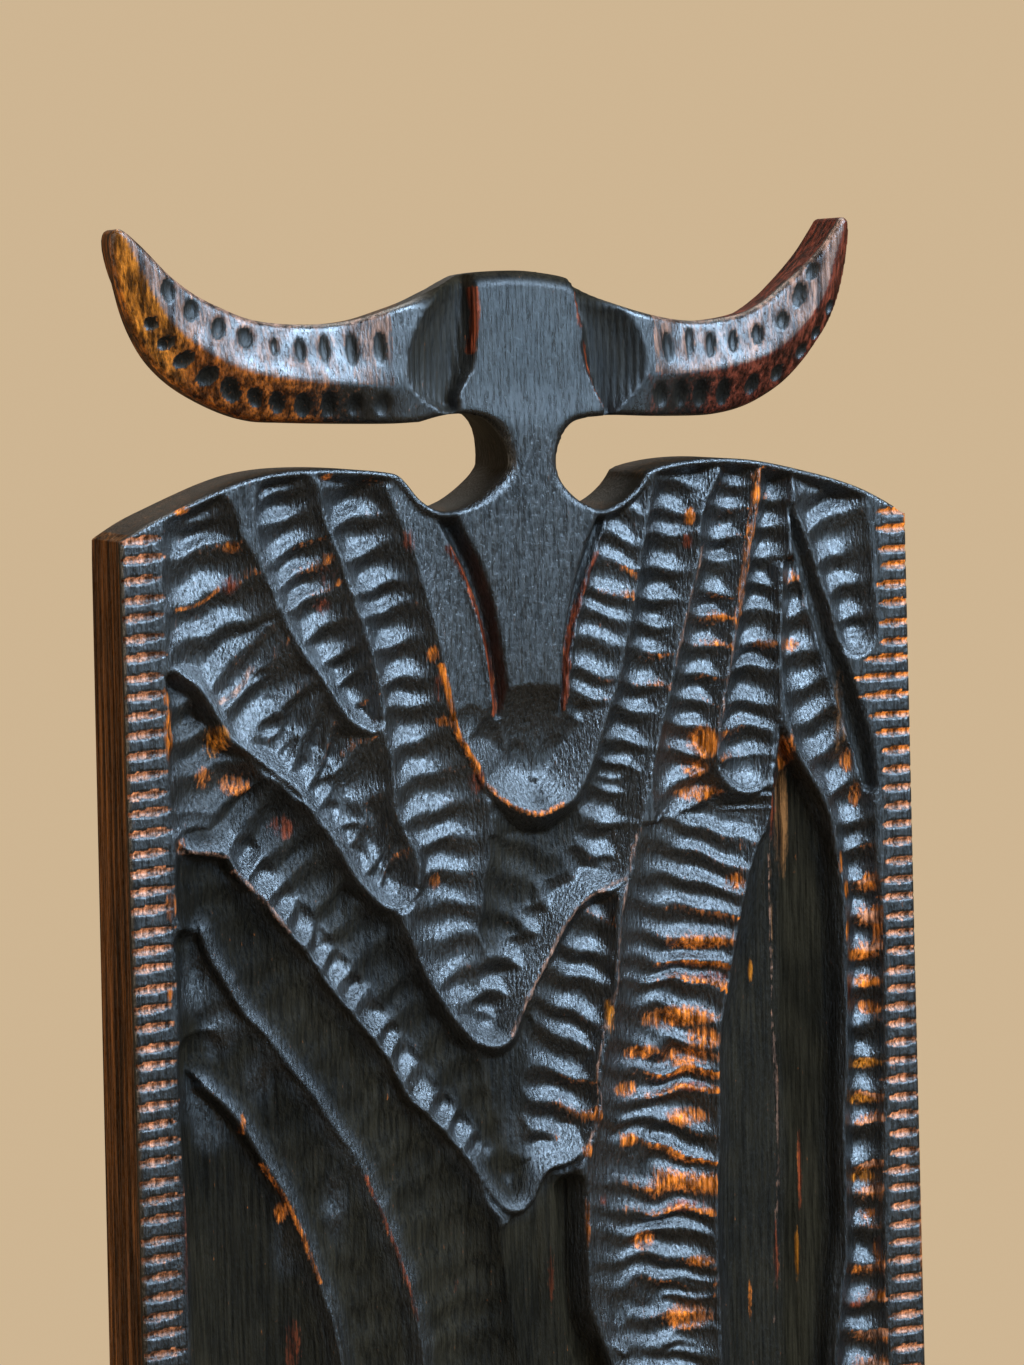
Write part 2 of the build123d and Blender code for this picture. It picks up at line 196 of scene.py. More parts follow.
V3_DARK = [
    (5, 238, 18.5, 238), (6, 220, 18.5, 220), (7, 200, 18.5, 200), (8, 184, 22, 184), (12, 160, 28, 160),
    (14, 100, 30, 100),
]
V4_LEFT = [
    (-135, 336, -118, 338), (-135, 316, -106, 318), (-134, 298, -97, 302), (-126, 286.5, -88, 289),
    (-116, 277.5, -80, 277), (-108, 265, -72, 262), (-101, 253, -65, 250), (-94, 241, -60, 238),
    (-89, 227, -55, 224), (-84, 213, -51, 210), (-80, 202, -48.5, 199), (-77.5, 188, -47, 185),
    (-75, 165, -45.5, 162), (-72, 120, -44, 120), (-68, 80, -43, 80), (-62, 50, -46, 50),
]
GROUND_LEFT = [
    (-135, 300, -112, 297), (-135, 284, -110, 280), (-135, 262, -103, 262), (-134.5, 240, -93, 242),
    (-134, 214, -83.5, 214), (-134, 186, -77, 186), (-134, 150, -74, 150), (-134, 100, -70, 100),
    (-134, 50, -64, 50),
]
GROUND_RIGHT = [
    (96, 404, 99, 403), (95, 388, 106, 389), (92.5, 367, 117, 371), (86, 353, 120.4, 356),
    (81.5, 337, 123, 338), (77.5, 319, 123.4, 320), (74.5, 304, 123, 304), (71.2, 287, 122.8, 288),
    (71, 259, 121.4, 259), (69.4, 232.3, 121.2, 234), (69, 205, 121.2, 206), (69.6, 186, 118, 186),
    (70, 150, 116, 150), (68, 100, 117, 100), (66, 52, 120, 52),
]
GROUND_STEP = [
    (98, 398, 100, 398), (98, 380, 109, 380), (98.5, 358, 118, 362), (96.5, 335, 121, 335),
    (96.4, 310, 121.6, 310), (95.5, 290, 121, 290), (97.5, 265, 120, 265), (98.5, 240, 119.6, 240),
    (96.5, 215, 119.8, 215), (96, 186, 116, 186), (97, 150, 114, 150), (97, 100, 115, 100),
    (96, 56, 118, 56),
]
TONGUE_GROOVE_LEFT = [
    (-35, 487, -27, 487), (-30, 477, -22.5, 478), (-25, 466, -17, 467), (-20, 452, -12.6, 453),
    (-16.8, 438, -10, 438), (-15, 425, -8.2, 425), (-13.8, 412, -7.4, 413),
]
TONGUE_GROOVE_RIGHT = [
    (28, 484, 33, 484), (22.8, 472, 29, 473), (18.4, 460, 24, 461), (15.2, 447, 20, 447),
    (13.2, 434, 17, 434), (12.2, 420, 15.4, 420), (11.4, 411, 14.4, 411),
]
FACET_LEFT = [
    (-52, 498, -33, 494), (-46.5, 484, -30, 482), (-41.5, 470, -25, 468), (-38, 456, -20.5, 455),
    (-34, 441, -16.6, 440), (-31, 424, -14, 424), (-28, 410, -13, 411),
]
FACET_RIGHT = [
    (33, 490, 50, 494), (30, 478, 46.5, 480), (24, 464, 44, 466), (19.5, 450, 41, 451),
    (16.6, 436, 38, 437), (15, 424, 34.8, 425), (14, 413, 31, 414), (15, 403, 27, 404),
]

# dishes: x, z, half-width, half-height, depth, turn in degrees
DISHES = [
    (66.5, 496, 9.5, 9.5, 4.6, 0),
    (1.5, 399, 30, 25, 9.0, 0),
    (-53.5, 354.5, 9.8, 8.6, 6.6, 0),
    (-17, 303, 11.5, 11, 8.0, 0),
    (-10, 243, 10.5, 11, 8.2, 0),
    (-17.5, 256, 8, 7, 7.4, 20),
    (2, 253.5, 8.5, 8, 7.4, -15),
    (85.5, 390, 11.5, 11, 6.4, 0),
    (129, 438, 8.8, 10.5, 5.8, 0),
    (-62, 417, 8.5, 8.5, 5.8, 0),
    (29, 356.5, 9.5, 7, 7.4, 0),
    (8, 351, 10, 9, 7.4, 35),
    (-119, 382, 17, 13, 6.2, -4),
    (-21, 411, 8.5, 10, 3.4, 0),
    (32, 192, 8, 15, 6.0, 8),
]

# soft lobes in the bowl under the tongue: x, z, width, height, turn in degrees
BOWL_LOBES = [
    (-14, 400, 13, 24, 12), (-2, 391, 14, 24, 0), (11, 393, 14, 24, -10), (20, 405, 11, 22, -16),
]

# sharp crests left standing between the flutes: depth on the crest, how steeply it falls to the
# left and to the right of its run, then its points
ARRISES = [
    (0.8, 1.2, 1.2, [
        (-104, 500), (-103.4, 492), (-102.6, 484), (-101, 477), (-98.6, 470), (-95, 463), (-91.5, 453),
        (-87.5, 444.6), (-83, 437), (-78.3, 431), (-74.5, 424.6), (-70.6, 418.5), (-66.8, 413.8),
        (-61.4, 410.4), (-56.5, 408.5),
    ]),
    (0.7, 1.2, 1.2, [
        (-78, 499), (-76.8, 491.5), (-74.5, 484), (-71.4, 476), (-69, 470), (-66.8, 462), (-63.7, 453),
        (-60.6, 445), (-59, 439), (-56.8, 428.5), (-55.6, 421), (-54.8, 411), (-53.3, 402), (-52.2, 393),
        (-52.2, 386), (-50.6, 379), (-48.3, 373), (-44.5, 366), (-43, 360), (-43.3, 354),
    ]),
    (1.0, 1.1, 1.6, [
        (-135.5, 439), (-130, 434), (-122.5, 428), (-116, 417.7), (-112, 410), (-105, 404.6), (-96, 397),
        (-87.5, 390), (-83.7, 384), (-79, 377.7), (-74.5, 371.5), (-71.4, 366), (-67.5, 359),
        (-63.7, 354), (-58, 348), (-53, 345.4), (-48, 346.4), (-44, 351),
    ]),
    (0.6, 0.75, 1.2, [
        (-51.4, 496), (-48.3, 487), (-45.2, 480), (-42.2, 472), (-39.5, 464), (-38.3, 456), (-36, 448.5),
        (-33.7, 441.5), (-32.2, 433), (-30.6, 423), (-29, 413), (-26.8, 407), (-23, 400), (-19.8, 394.6),
        (-17.5, 389), (-13, 384), (-6.8, 380), (-0.6, 377), (4.8, 376.2), (9.4, 378), (15.5, 380.8),
        (19.4, 385.4), (22.5, 391.5), (25.5, 398.5), (28.6, 407.7), (31.7, 415.4), (34.8, 424), (37, 433),
        (39.4, 442), (41.3, 451.5), (43.2, 460.8), (44.8, 470), (46.3, 477.7), (47.8, 485.4), (50, 495),
    ]),
    (0.9, 1.0, 1.5, [
        (-49, 345), (-47.5, 334.6), (-44.5, 328.5), (-41.4, 322), (-38.3, 316), (-33.7, 308.5),
        (-29.8, 303), (-26, 298.5), (-23, 295.4), (-17.5, 293.3), (-13, 293.3), (-9, 296), (-6.8, 300.8),
        (-3.7, 308.5), (-0.6, 314.6), (5.5, 323.8), (11, 333.8), (14, 338.5), (19.4, 343.8), (24, 347),
        (31, 347), (36, 350.5), (38.6, 357), (41.7, 369), (43.2, 377), (44.8, 384.6), (47, 392),
        (49.4, 398.5), (51.7, 407.7), (54.8, 417.7), (56.7, 427), (58.6, 436), (61, 444), (63.2, 452.3),
        (65.5, 460.8), (67, 468.5), (67.8, 476), (69.4, 486), (72.5, 490.8), (76, 498),
    ]),
    (0.8, 1.2, 1.2, [
        (91.7, 497), (91, 488.5), (89.4, 480.8), (87.8, 473), (86, 463.8), (84.4, 456), (82.5, 448.5),
        (81, 440.8), (79.8, 433), (78.2, 425.4), (76.7, 417.7), (75.2, 410), (73.6, 402.3), (72.8, 394),
        (74, 388), (76.3, 384.6), (80, 381.2), (85.5, 379.6), (90, 380.6), (93.4, 383.4), (95.4, 388.5),
    ]),
    (0.9, 1.2, 2.2, [
        (100, 462), (99.6, 447), (99, 439), (98.8, 431.5), (99.2, 419), (101, 410), (103.5, 398),
        (108.4, 388), (113.2, 381.5), (117, 373), (119.4, 365), (121, 352), (122.5, 341.5), (123.2, 330),
        (123.2, 305), (122.6, 292), (123, 275), (121.4, 257), (121.3, 236), (121.7, 221), (121, 201.5),
        (118, 185), (116, 150), (116, 120), (118, 90), (121, 56),
    ]),
    (0.9, 1.2, 1.9, [
        (104.8, 489), (106.3, 482.3), (108.6, 477), (111.7, 469), (114, 462.3), (116.3, 454.6),
        (118.6, 449), (121, 440.8), (122.5, 434.6), (124.8, 430.8), (128.6, 428), (132.5, 428.5),
        (136.3, 432),
    ]),
    (1.4, 2.4, 1.0, [
        (98, 404), (97.6, 397), (95.5, 386), (94, 377), (92.5, 367), (89.4, 361.5), (86.3, 353.8),
        (84, 346), (81.7, 337), (80.2, 329), (77.8, 320.8), (74.8, 305.4), (72.8, 297.7), (71.3, 288.5),
        (71, 274.6), (71, 259), (70, 243.8), (68.8, 225), (69, 205.4), (69.6, 188), (68.6, 160),
        (67, 120), (65, 80), (63, 54),
    ]),
    (1.1, 1.2, 1.6, [
        (40.6, 364), (37.4, 352), (35.5, 343), (33.2, 336), (32.2, 325), (31.6, 311.5), (29, 300),
        (26.3, 292), (23.6, 280), (24, 268), (20.6, 258), (18, 248), (18.4, 235), (18.4, 200),
        (20.6, 189), (25, 181), (32, 175.4),
    ]),
    (1.3, 0.75, 2.4, [
        (-135.6, 384.6), (-133.7, 377.7), (-131, 373), (-127, 370.8), (-120, 370), (-115, 368.8),
        (-111.4, 363), (-108.3, 358.5), (-103, 354.6), (-95.2, 343.8), (-86, 333), (-82, 327),
        (-78.3, 320), (-73, 313.8), (-64.5, 303), (-56, 291.5), (-49.8, 278.5), (-44.5, 273),
        (-39, 267.7), (-33.7, 261.5), (-29, 255.4), (-25.2, 250), (-22.2, 245), (-16.8, 237),
        (-12.2, 232.8), (-7, 232.4), (-2.6, 236), (1, 243), (5, 247), (12, 248.4), (18, 252),
    ]),
    (2.4, 0.62, 2.6, [
        (-124.6, 342), (-121.4, 333), (-117.5, 326), (-109.8, 312.3), (-102, 303.8), (-94.5, 293),
        (-84.5, 280), (-79, 270.8), (-69, 256), (-62, 240.8), (-56, 223.8), (-52, 213), (-49.8, 203.8),
        (-47.5, 193.8), (-46, 178), (-45, 140), (-43.6, 100), (-42.6, 60),
    ]),
    (2.8, 0.62, 2.8, [
        (-125, 287), (-115.2, 277), (-109, 267.7), (-102, 255.4), (-95.2, 243.8), (-89.8, 230),
        (-84.5, 214.6), (-79.8, 201.5), (-77, 186), (-74.5, 150), (-71.4, 110), (-67, 74), (-63, 54),
    ]),
]

# places in the dry fields polished by handling: x, z, half-width, half-height
POLISHED = [
    (-127, 322, 8, 11), (-117, 306, 7, 10), (-103, 288, 5, 9), (-129, 283, 8, 9), (-121, 271, 7, 9),
    (-95, 226, 4, 12), (-76, 240, 4, 14), (-2, 262, 10, 8),
]

NOTCH_PITCH = 6.85
NOTCH_TOP = 481.3
NOTCH_ROWS = 64
NOTCH_HALF = 1.5
NOTCH_DEPTH = 1.5
NOTCH_INNER = {-1: 134.5, 1: 137.6}  # where the cuts begin, on the left and on the right
NOTCH_OUTER = 152.5
NOTCH_TILT = {-1: 0.09, 1: 0.02}

# dimples on the horns: x, z, width, height, turn in degrees
HORN_DIMPLES = [
    (-129.2, 567.5, 5.2, 9, 8), (-121, 560.5, 6, 8, -15), (-111.2, 554, 5.5, 8.5, -12),
    (-101.2, 550.5, 6, 8, 5), (-90.7, 547, 3, 6, 0), (-81.2, 545.5, 4, 9, 3), (-72.2, 546, 4, 10, 0),
    (-62.2, 545.5, 4.5, 12, 0), (-52.2, 546, 4.5, 12, 0), (-135.4, 556.3, 5, 5.5, 20),
    (-130, 549.5, 6.5, 5, 20), (-123.6, 543.5, 8, 5.8, 25), (-115, 537.8, 8.5, 7, 35),
    (-106.6, 532.5, 7, 10, 30), (-97.8, 529.6, 5.4, 8, 22), (-89.6, 527.6, 5.8, 8.5, 16),
    (-80.2, 526.6, 6.2, 9.2, 14), (-70.7, 526.5, 6, 9.8, 12), (-61, 526, 5.6, 8, 10),
    (-51.5, 526, 5.8, 8.4, 5), (57.8, 543.5, 4.5, 12, 4), (67.2, 545, 3.6, 11, -6),
    (75.3, 544, 4, 9.5, -8), (84.3, 545, 3.5, 8.5, -6), (93.8, 547.3, 4.6, 8, -4),
    (103.8, 552.2, 4.5, 7, -14), (110.8, 561.5, 5, 10, -18), (115.8, 570, 4.6, 7.2, -26),
    (54.6, 526.5, 6, 9.5, 12), (63.4, 526.8, 5.6, 10, 10), (71.8, 526.8, 5.6, 10.5, 8),
    (81, 526.8, 5.4, 10.5, 8), (92.4, 529.4, 5.4, 8, -10), (102.4, 533.4, 4.8, 7, -20),
    (112, 541, 4.2, 6.4, -28), (118, 547.6, 4, 6, -30), (123, 557, 3.2, 6, -20),
]
RIDGE_LEFT = [
    (-146, 589), (-139, 575), (-134, 565), (-127, 555), (-117, 547), (-104, 540), (-89, 536.3),
    (-69, 533.8), (-49, 532.5), (-30, 531.5),
]
RIDGE_RIGHT = [
    (30, 533.5), (51, 534.4), (61, 534.2), (76, 535.2), (91, 538), (101.5, 542.5), (111, 550.3),
    (119.5, 561), (124.5, 575), (128.6, 588),
]
HEAD_SCOOP_LEFT = [
    (-24, 571.5, -17, 569.5), (-32, 563.5, -15.4, 563), (-40, 555, -15.3, 554), (-44.5, 544, -16.6, 545),
    (-44.5, 536, -18.6, 536.5), (-40, 529.5, -21, 530.5), (-33, 525, -24, 525.5),
]
HEAD_SCOOP_RIGHT = [
    (20.6, 568.5, 27, 567), (21.2, 560, 35, 561), (22, 552, 46, 553), (23, 544, 50.5, 544),
    (24.6, 536, 50, 535), (27.6, 528.5, 45, 527.5), (32, 521.5, 38, 521),
]


# ------------------------------------------------------------------ geometry helpers
def curve(points, spacing=1.0):
    """A smooth line through given points, dense enough to measure from."""
    p = np.array(points, float)
    p = np.vstack([2 * p[0] - p[1], p, 2 * p[-1] - p[-2]])
    rows = []
    for i in range(1, len(p) - 2):
        a, b, c, d = p[i - 1 : i + 3]
        count = max(2, int(np.hypot(*(c - b)[:2]) / spacing))
        t = np.linspace(0, 1, count, endpoint=False)[:, None]
        rows.append(b + 0.5 * t * (c - a + t * (2 * a - 5 * b + 4 * c - d + t * (3 * (b - c) + d - a))))
    return np.vstack(rows + [p[-2:-1]])


def nearest(line, points):
    """Index of the line's nearest point, and the distance to it, for each point."""
    tree = KDTree(len(line))
    for i, (x, z) in enumerate(line.tolist()):
        tree.insert((x, z, 0), i)
    tree.balance()
    found = [tree.find((x, z, 0)) for x, z in points.tolist()]
    return np.array([f[1] for f in found]), np.array([f[2] for f in found])


def near_line(c, line, reach):
    """Numbers and places of the carving's points inside a line's box, widened by reach."""
    box = (c.x > line[:, 0].min() - reach) & (c.x < line[:, 0].max() + reach)
    box &= (c.z > line[:, 1].min() - reach) & (c.z < line[:, 1].max() + reach)
    near = np.nonzero(box)[0]
    return near, np.stack([c.x[near], c.z[near]], axis=1)


def smooth(low, high, value):
    """0 up to low, 1 from high on, and an even ramp between them."""
    t = np.clip((value - low) / (high - low), 0, 1)
    return t * t * (3 - 2 * t)


def outline_points():
    """The closed front outline, running with the timber on its left as seen from the front."""
    strands = [BODY_LEFT, SHOULDER_LEFT, HORN_LEFT, HORN_RIGHT, SHOULDER_RIGHT, BODY_RIGHT, BODY_FOOT]
    line = np.vstack([curve(s, OUTLINE_STEP)[:-1] for s in strands])
    return line[::-1].copy()


def inside_cells(outline, xs, zs):
    """Which cells of a lattice have their centre inside the closed outline."""
    following = np.roll(outline, -1, axis=0)
    rows = []
    for z in zs:
        crossing = (outline[:, 1] <= z) != (following[:, 1] <= z)
        a, b = outline[crossing], following[crossing]
        cuts = np.sort(a[:, 0] + (z - a[:, 1]) * (b[:, 0] - a[:, 0]) / (b[:, 1] - a[:, 1]))
        rows.append(np.searchsorted(cuts, xs) % 2 == 1)
    return np.array(rows)


def along(values, place):
    """Values given at the outline's points, read at places between them."""
    closed = np.vstack([values, values[:1]])
    low = np.floor(place).astype(int)
    part = (place - low)[:, None]
    return closed[low] * (1 - part) + closed[low + 1] * part


def spread_ties(place, total):
    """Rim places that never go back, with those that fell on the same outline point spaced out."""
    rising = np.maximum.accumulate(place)
    first = np.flatnonzero(np.diff(rising, prepend=-1) > 0)
    ends = np.append(first, len(place))
    return np.interp(np.arange(len(place)), ends, np.append(rising[first], total))


class Sheet:
    """A lattice of points that fills an outline, its edge points pulled onto the outline."""

    def __init__(self, outline, step):
        low = outline.min(axis=0) - 2 * step
        high = outline.max(axis=0) + 2 * step
        xs = np.arange(low[0], high[0], step)
        zs = np.arange(low[1], high[1], step)
        cells = inside_cells(outline, xs[:-1] + step / 2, zs[:-1] + step / 2)
        for _ in range(3):
            a, b, c, d = cells[:-1, :-1], cells[:-1, 1:], cells[1:, :-1], cells[1:, 1:]
            pinch = (a & d & ~b & ~c) | (b & c & ~a & ~d)
            for part in (cells[:-1, :-1], cells[:-1, 1:], cells[1:, :-1], cells[1:, 1:]):
                part |= pinch
        padded = np.pad(cells, 1)
        corner_cells = [padded[:-1, :-1], padded[:-1, 1:], padded[1:, :-1], padded[1:, 1:]]
        used = np.logical_or.reduce(corner_cells)
        edge = used & ~np.logical_and.reduce(corner_cells)
        grid = np.stack(np.meshgrid(xs, zs), axis=-1)
        rim, _ = nearest(outline, grid[edge])
        grid[edge] = outline[rim]
        self.relax(grid, used, edge)

        self.number = np.full(used.shape, -1)
        self.number[used] = np.arange(used.sum())
        self.points = grid[used]
        n = self.number
        r, c = np.nonzero(cells)
        self.quads = np.stack([n[r, c], n[r, c + 1], n[r + 1, c + 1], n[r + 1, c]], axis=1)
        place = np.full(len(self.points), -1)
        place[n[edge]] = rim
        self.loop = self.rim_loop(place)
        self.place = spread_ties(place[self.loop], len(outline))
        self.points[self.loop] = along(outline, self.place)

    def relax(self, grid, used, edge):
        """Evens out the cells next to the rim."""
        band = edge.copy()
        for _ in range(3):
            wide = band.copy()
            wide[1:, :] |= band[:-1, :]
            wide[:-1, :] |= band[1:, :]
            wide[:, 1:] |= band[:, :-1]
            wide[:, :-1] |= band[:, 1:]
            band = wide
        moving = band & used & ~edge
        r, c = np.nonzero(moving)
        for _ in range(8):
            grid[r, c] = (grid[r - 1, c] + grid[r + 1, c] + grid[r, c - 1] + grid[r, c + 1]) / 4

    def rim_loop(self, place):
        """The rim's points in order, timber on the left, starting where the outline starts."""
        q = self.quads
        edges = np.concatenate([q[:, [0, 1]], q[:, [1, 2]], q[:, [2, 3]], q[:, [3, 0]]])
        key = edges.min(axis=1) * (len(self.points) + 1) + edges.max(axis=1)
        _, first, count = np.unique(key, return_index=True, return_counts=True)
        rim = edges[first[count == 1]]
        onward = dict(rim.tolist())
        start = min(onward, key=lambda v: (place[v], v))
        loop = [start]
        while onward[loop[-1]] != start:
            loop.append(onward[loop[-1]])
        return np.array(loop)


def stitch(loop_a, place_a, loop_b, place_b, total):
    """Triangles between two rims, front one first, matched by their place on the outline."""
    n, m = len(loop_a), len(loop_b)
    next_a = np.maximum.accumulate(np.append(place_a[1:], total))
    next_b = np.maximum.accumulate(np.append(place_b[1:], total))
    triangles = []
    i = j = 0
    while i < n or j < m:
        if j >= m or (i < n and next_a[i] <= next_b[j]):
            triangles.append((loop_a[i % n], loop_b[j % m], loop_a[(i + 1) % n]))
            i += 1
        else:
            triangles.append((loop_a[i % n], loop_b[j % m], loop_b[(j + 1) % m]))
            j += 1
    return np.array(triangles)


# ------------------------------------------------------------------ the carving
class Carving:
    """Depth behind the front plane at each point, with how worn and how dry the surface is."""

    def __init__(self, points):
        self.x = points[:, 0]
        self.z = points[:, 1]
        self.depth = np.zeros(len(points))
        self.wear = np.zeros(len(points))
        self.dry = np.zeros(len(points))
        self.crest = np.full(len(points), 0.55)
        self.random = np.random.default_rng(SCOOP_SEED)

    def groove(self, banks, deep, flat=2.0, lean=0.0, pitch=0.0, bite=0.0, slant=(0, 0), bow=0.0,
               top_open=False, wear=0.0, wear_side=0.0, dry=0.0, split=0.0, soft=0.0, add=False):
        """A flute between two banks, cut into scoops by pitch and bite.

        bite, slant and dry may have a value for the top and one for the foot. slant turns the scoops' edges
        and bow bends them. split breaks the scoops in two across the flute, more and more towards the foot.
        soft lets them die away towards the right bank, or the left one if it is negative.

        The wear is bare timber rubbed free on the scoops' crests, on the side that wear_side gives.
        With add, the scoops are cut into the surface that is already there.
        """
        rows = curve([((a + c) / 2, (b + d) / 2, math.hypot(c - a, d - b) / 2) for a, b, c, d in banks])
        line, half = rows[:, :2], rows[:, 2]
        near, here = near_line(self, line, half.max() + 4)
        index, _ = nearest(line, here)
        way = np.gradient(line, axis=0)
        way /= np.hypot(way[:, 0], way[:, 1])[:, None]
        run = np.append(0, np.cumsum(np.hypot(*np.diff(line, axis=0).T)))
        offset = here - line[index]
        s = run[index] + (offset * way[index]).sum(axis=1)
        u = -offset[:, 0] * way[index, 1] + offset[:, 1] * way[index, 0]
        w = np.interp(s, run, half)
        before = np.maximum(-s, 0) / half[0]
        after = np.maximum(s - run[-1], 0) / half[-1]
        end = before * (0 if top_open else 1) + after
        across = np.clip(u / w, -1.2, 1.2)
        across = np.where(across > lean, (across - lean) / (1 - lean), (across - lean) / (1 + lean))
        radius = np.sqrt(across**2 + end**2)
        cut = deep * (1 - radius**flat)
        worn = np.zeros(len(near))
        crest = np.full(len(near), 0.55)
        if pitch:
            phase = s + np.interp(s, (0, run[-1]), slant) * u + bow * u * u / w
            parted = split * smooth(0.35 * run[-1], 0.7 * run[-1], s)
            phase += parted * pitch * smooth(-0.3, 0.3, u / w + 0.4 * np.sin(0.13 * s))
            phase += 0.06 * pitch * np.sin(0.37 * here[:, 0] + 1.9 * np.sin(0.11 * here[:, 1]))
            low = phase.min() - 2 * pitch
            count = int((phase.max() - low) / pitch) + 4
            edges = low + pitch * (np.arange(count) + self.random.uniform(-0.16, 0.16, count))
            gain = self.random.uniform(0.75, 1.2, count)
            rubbed = self.random.uniform(0.0, 1.0, count)
            k = np.clip(np.searchsorted(edges, phase) - 1, 0, count - 2)
            f = (phase - edges[k]) / (edges[k + 1] - edges[k])
            fade = np.sqrt(np.clip(1 - radius**2, 0, 1))
            size = np.interp(s, (0, run[-1]), np.broadcast_to(bite, 2)) * (1 - 0.5 * parted * (u < 0))
            size *= 1 - abs(soft) * smooth(-0.3, 0.85, np.sign(soft) * u / w)
            scoop = size * gain[k] * fade * (0.85 * np.sin(math.pi * f) ** 2 + 1.0 * f * (1 - f))
            cut += scoop
            side = smooth(0.1, 0.9, 0.5 + 0.5 * wear_side * u / w)
            crest = np.abs(2 * f - 1) ** 1.5
            worn = wear * crest * side * smooth(0.45, 0.95, rubbed[k])
        if add:
            cut = self.depth[near] + scoop
        won = (radius < 1) & (cut > self.depth[near])
        self.depth[near[won]] = cut[won]
        self.wear[near[won]] = worn[won]
        self.crest[near[won]] = crest[won]
        self.dry[near[won]] = np.interp(s[won], (0, run[-1]), np.broadcast_to(dry, 2))

    def arris(self, crest, left_slope, right_slope, points):
        """Leaves a sharp crest standing along a line."""
        line = curve(points)
        near, here = near_line(self, line, 14)
        index, away = nearest(line, here)
        way = np.gradient(line, axis=0)[index]
        offset = here - line[index]
        to_left = way[:, 0] * offset[:, 1] - way[:, 1] * offset[:, 0] > 0
        slope = np.where(to_left, left_slope, right_slope)
        limit = crest + slope * (np.sqrt(away**2 + 0.16) - 0.4)
        low = limit < self.depth[near]
        self.depth[near[low]] = limit[low]
        self.wear[near[low]] = 0
        self.dry[near] *= 0.15 + 0.85 * smooth(1.0, 6.5, away)
        self.crest[near[low]] = 0.8

    def from_middle(self, x, z, half_x, half_z, turn):
        """Squared distance from the middle of a turned ellipse, 1 on its rim."""
        c, s = math.cos(math.radians(turn)), math.sin(math.radians(turn))
        dx, dz = self.x - x, self.z - z
        return ((c * dx + s * dz) / half_x) ** 2 + ((c * dz - s * dx) / half_z) ** 2

    def dish(self, x, z, half_x, half_z, deep, turn):
        """One spoon-shaped cut."""
        radius2 = self.from_middle(x, z, half_x, half_z, turn)
        cut = deep * (1 - radius2)
        won = (radius2 < 1) & (cut > self.depth)
        self.depth[won] = cut[won]
        self.wear[won] = 0
        self.crest[won] = 0.4
        self.dry[won] = 0

    def dent(self, x, z, width, height, deep, turn, dry=0.0):
        """A dimple pressed into whatever surface is there."""
        radius2 = self.from_middle(x, z, width / 2, height / 2, turn)
        hit = radius2 < 1
        self.depth[hit] += deep * (1 - radius2[hit]) ** 0.7
        self.wear[hit] = 0
        self.crest[hit] = 0
        self.dry[hit] = dry


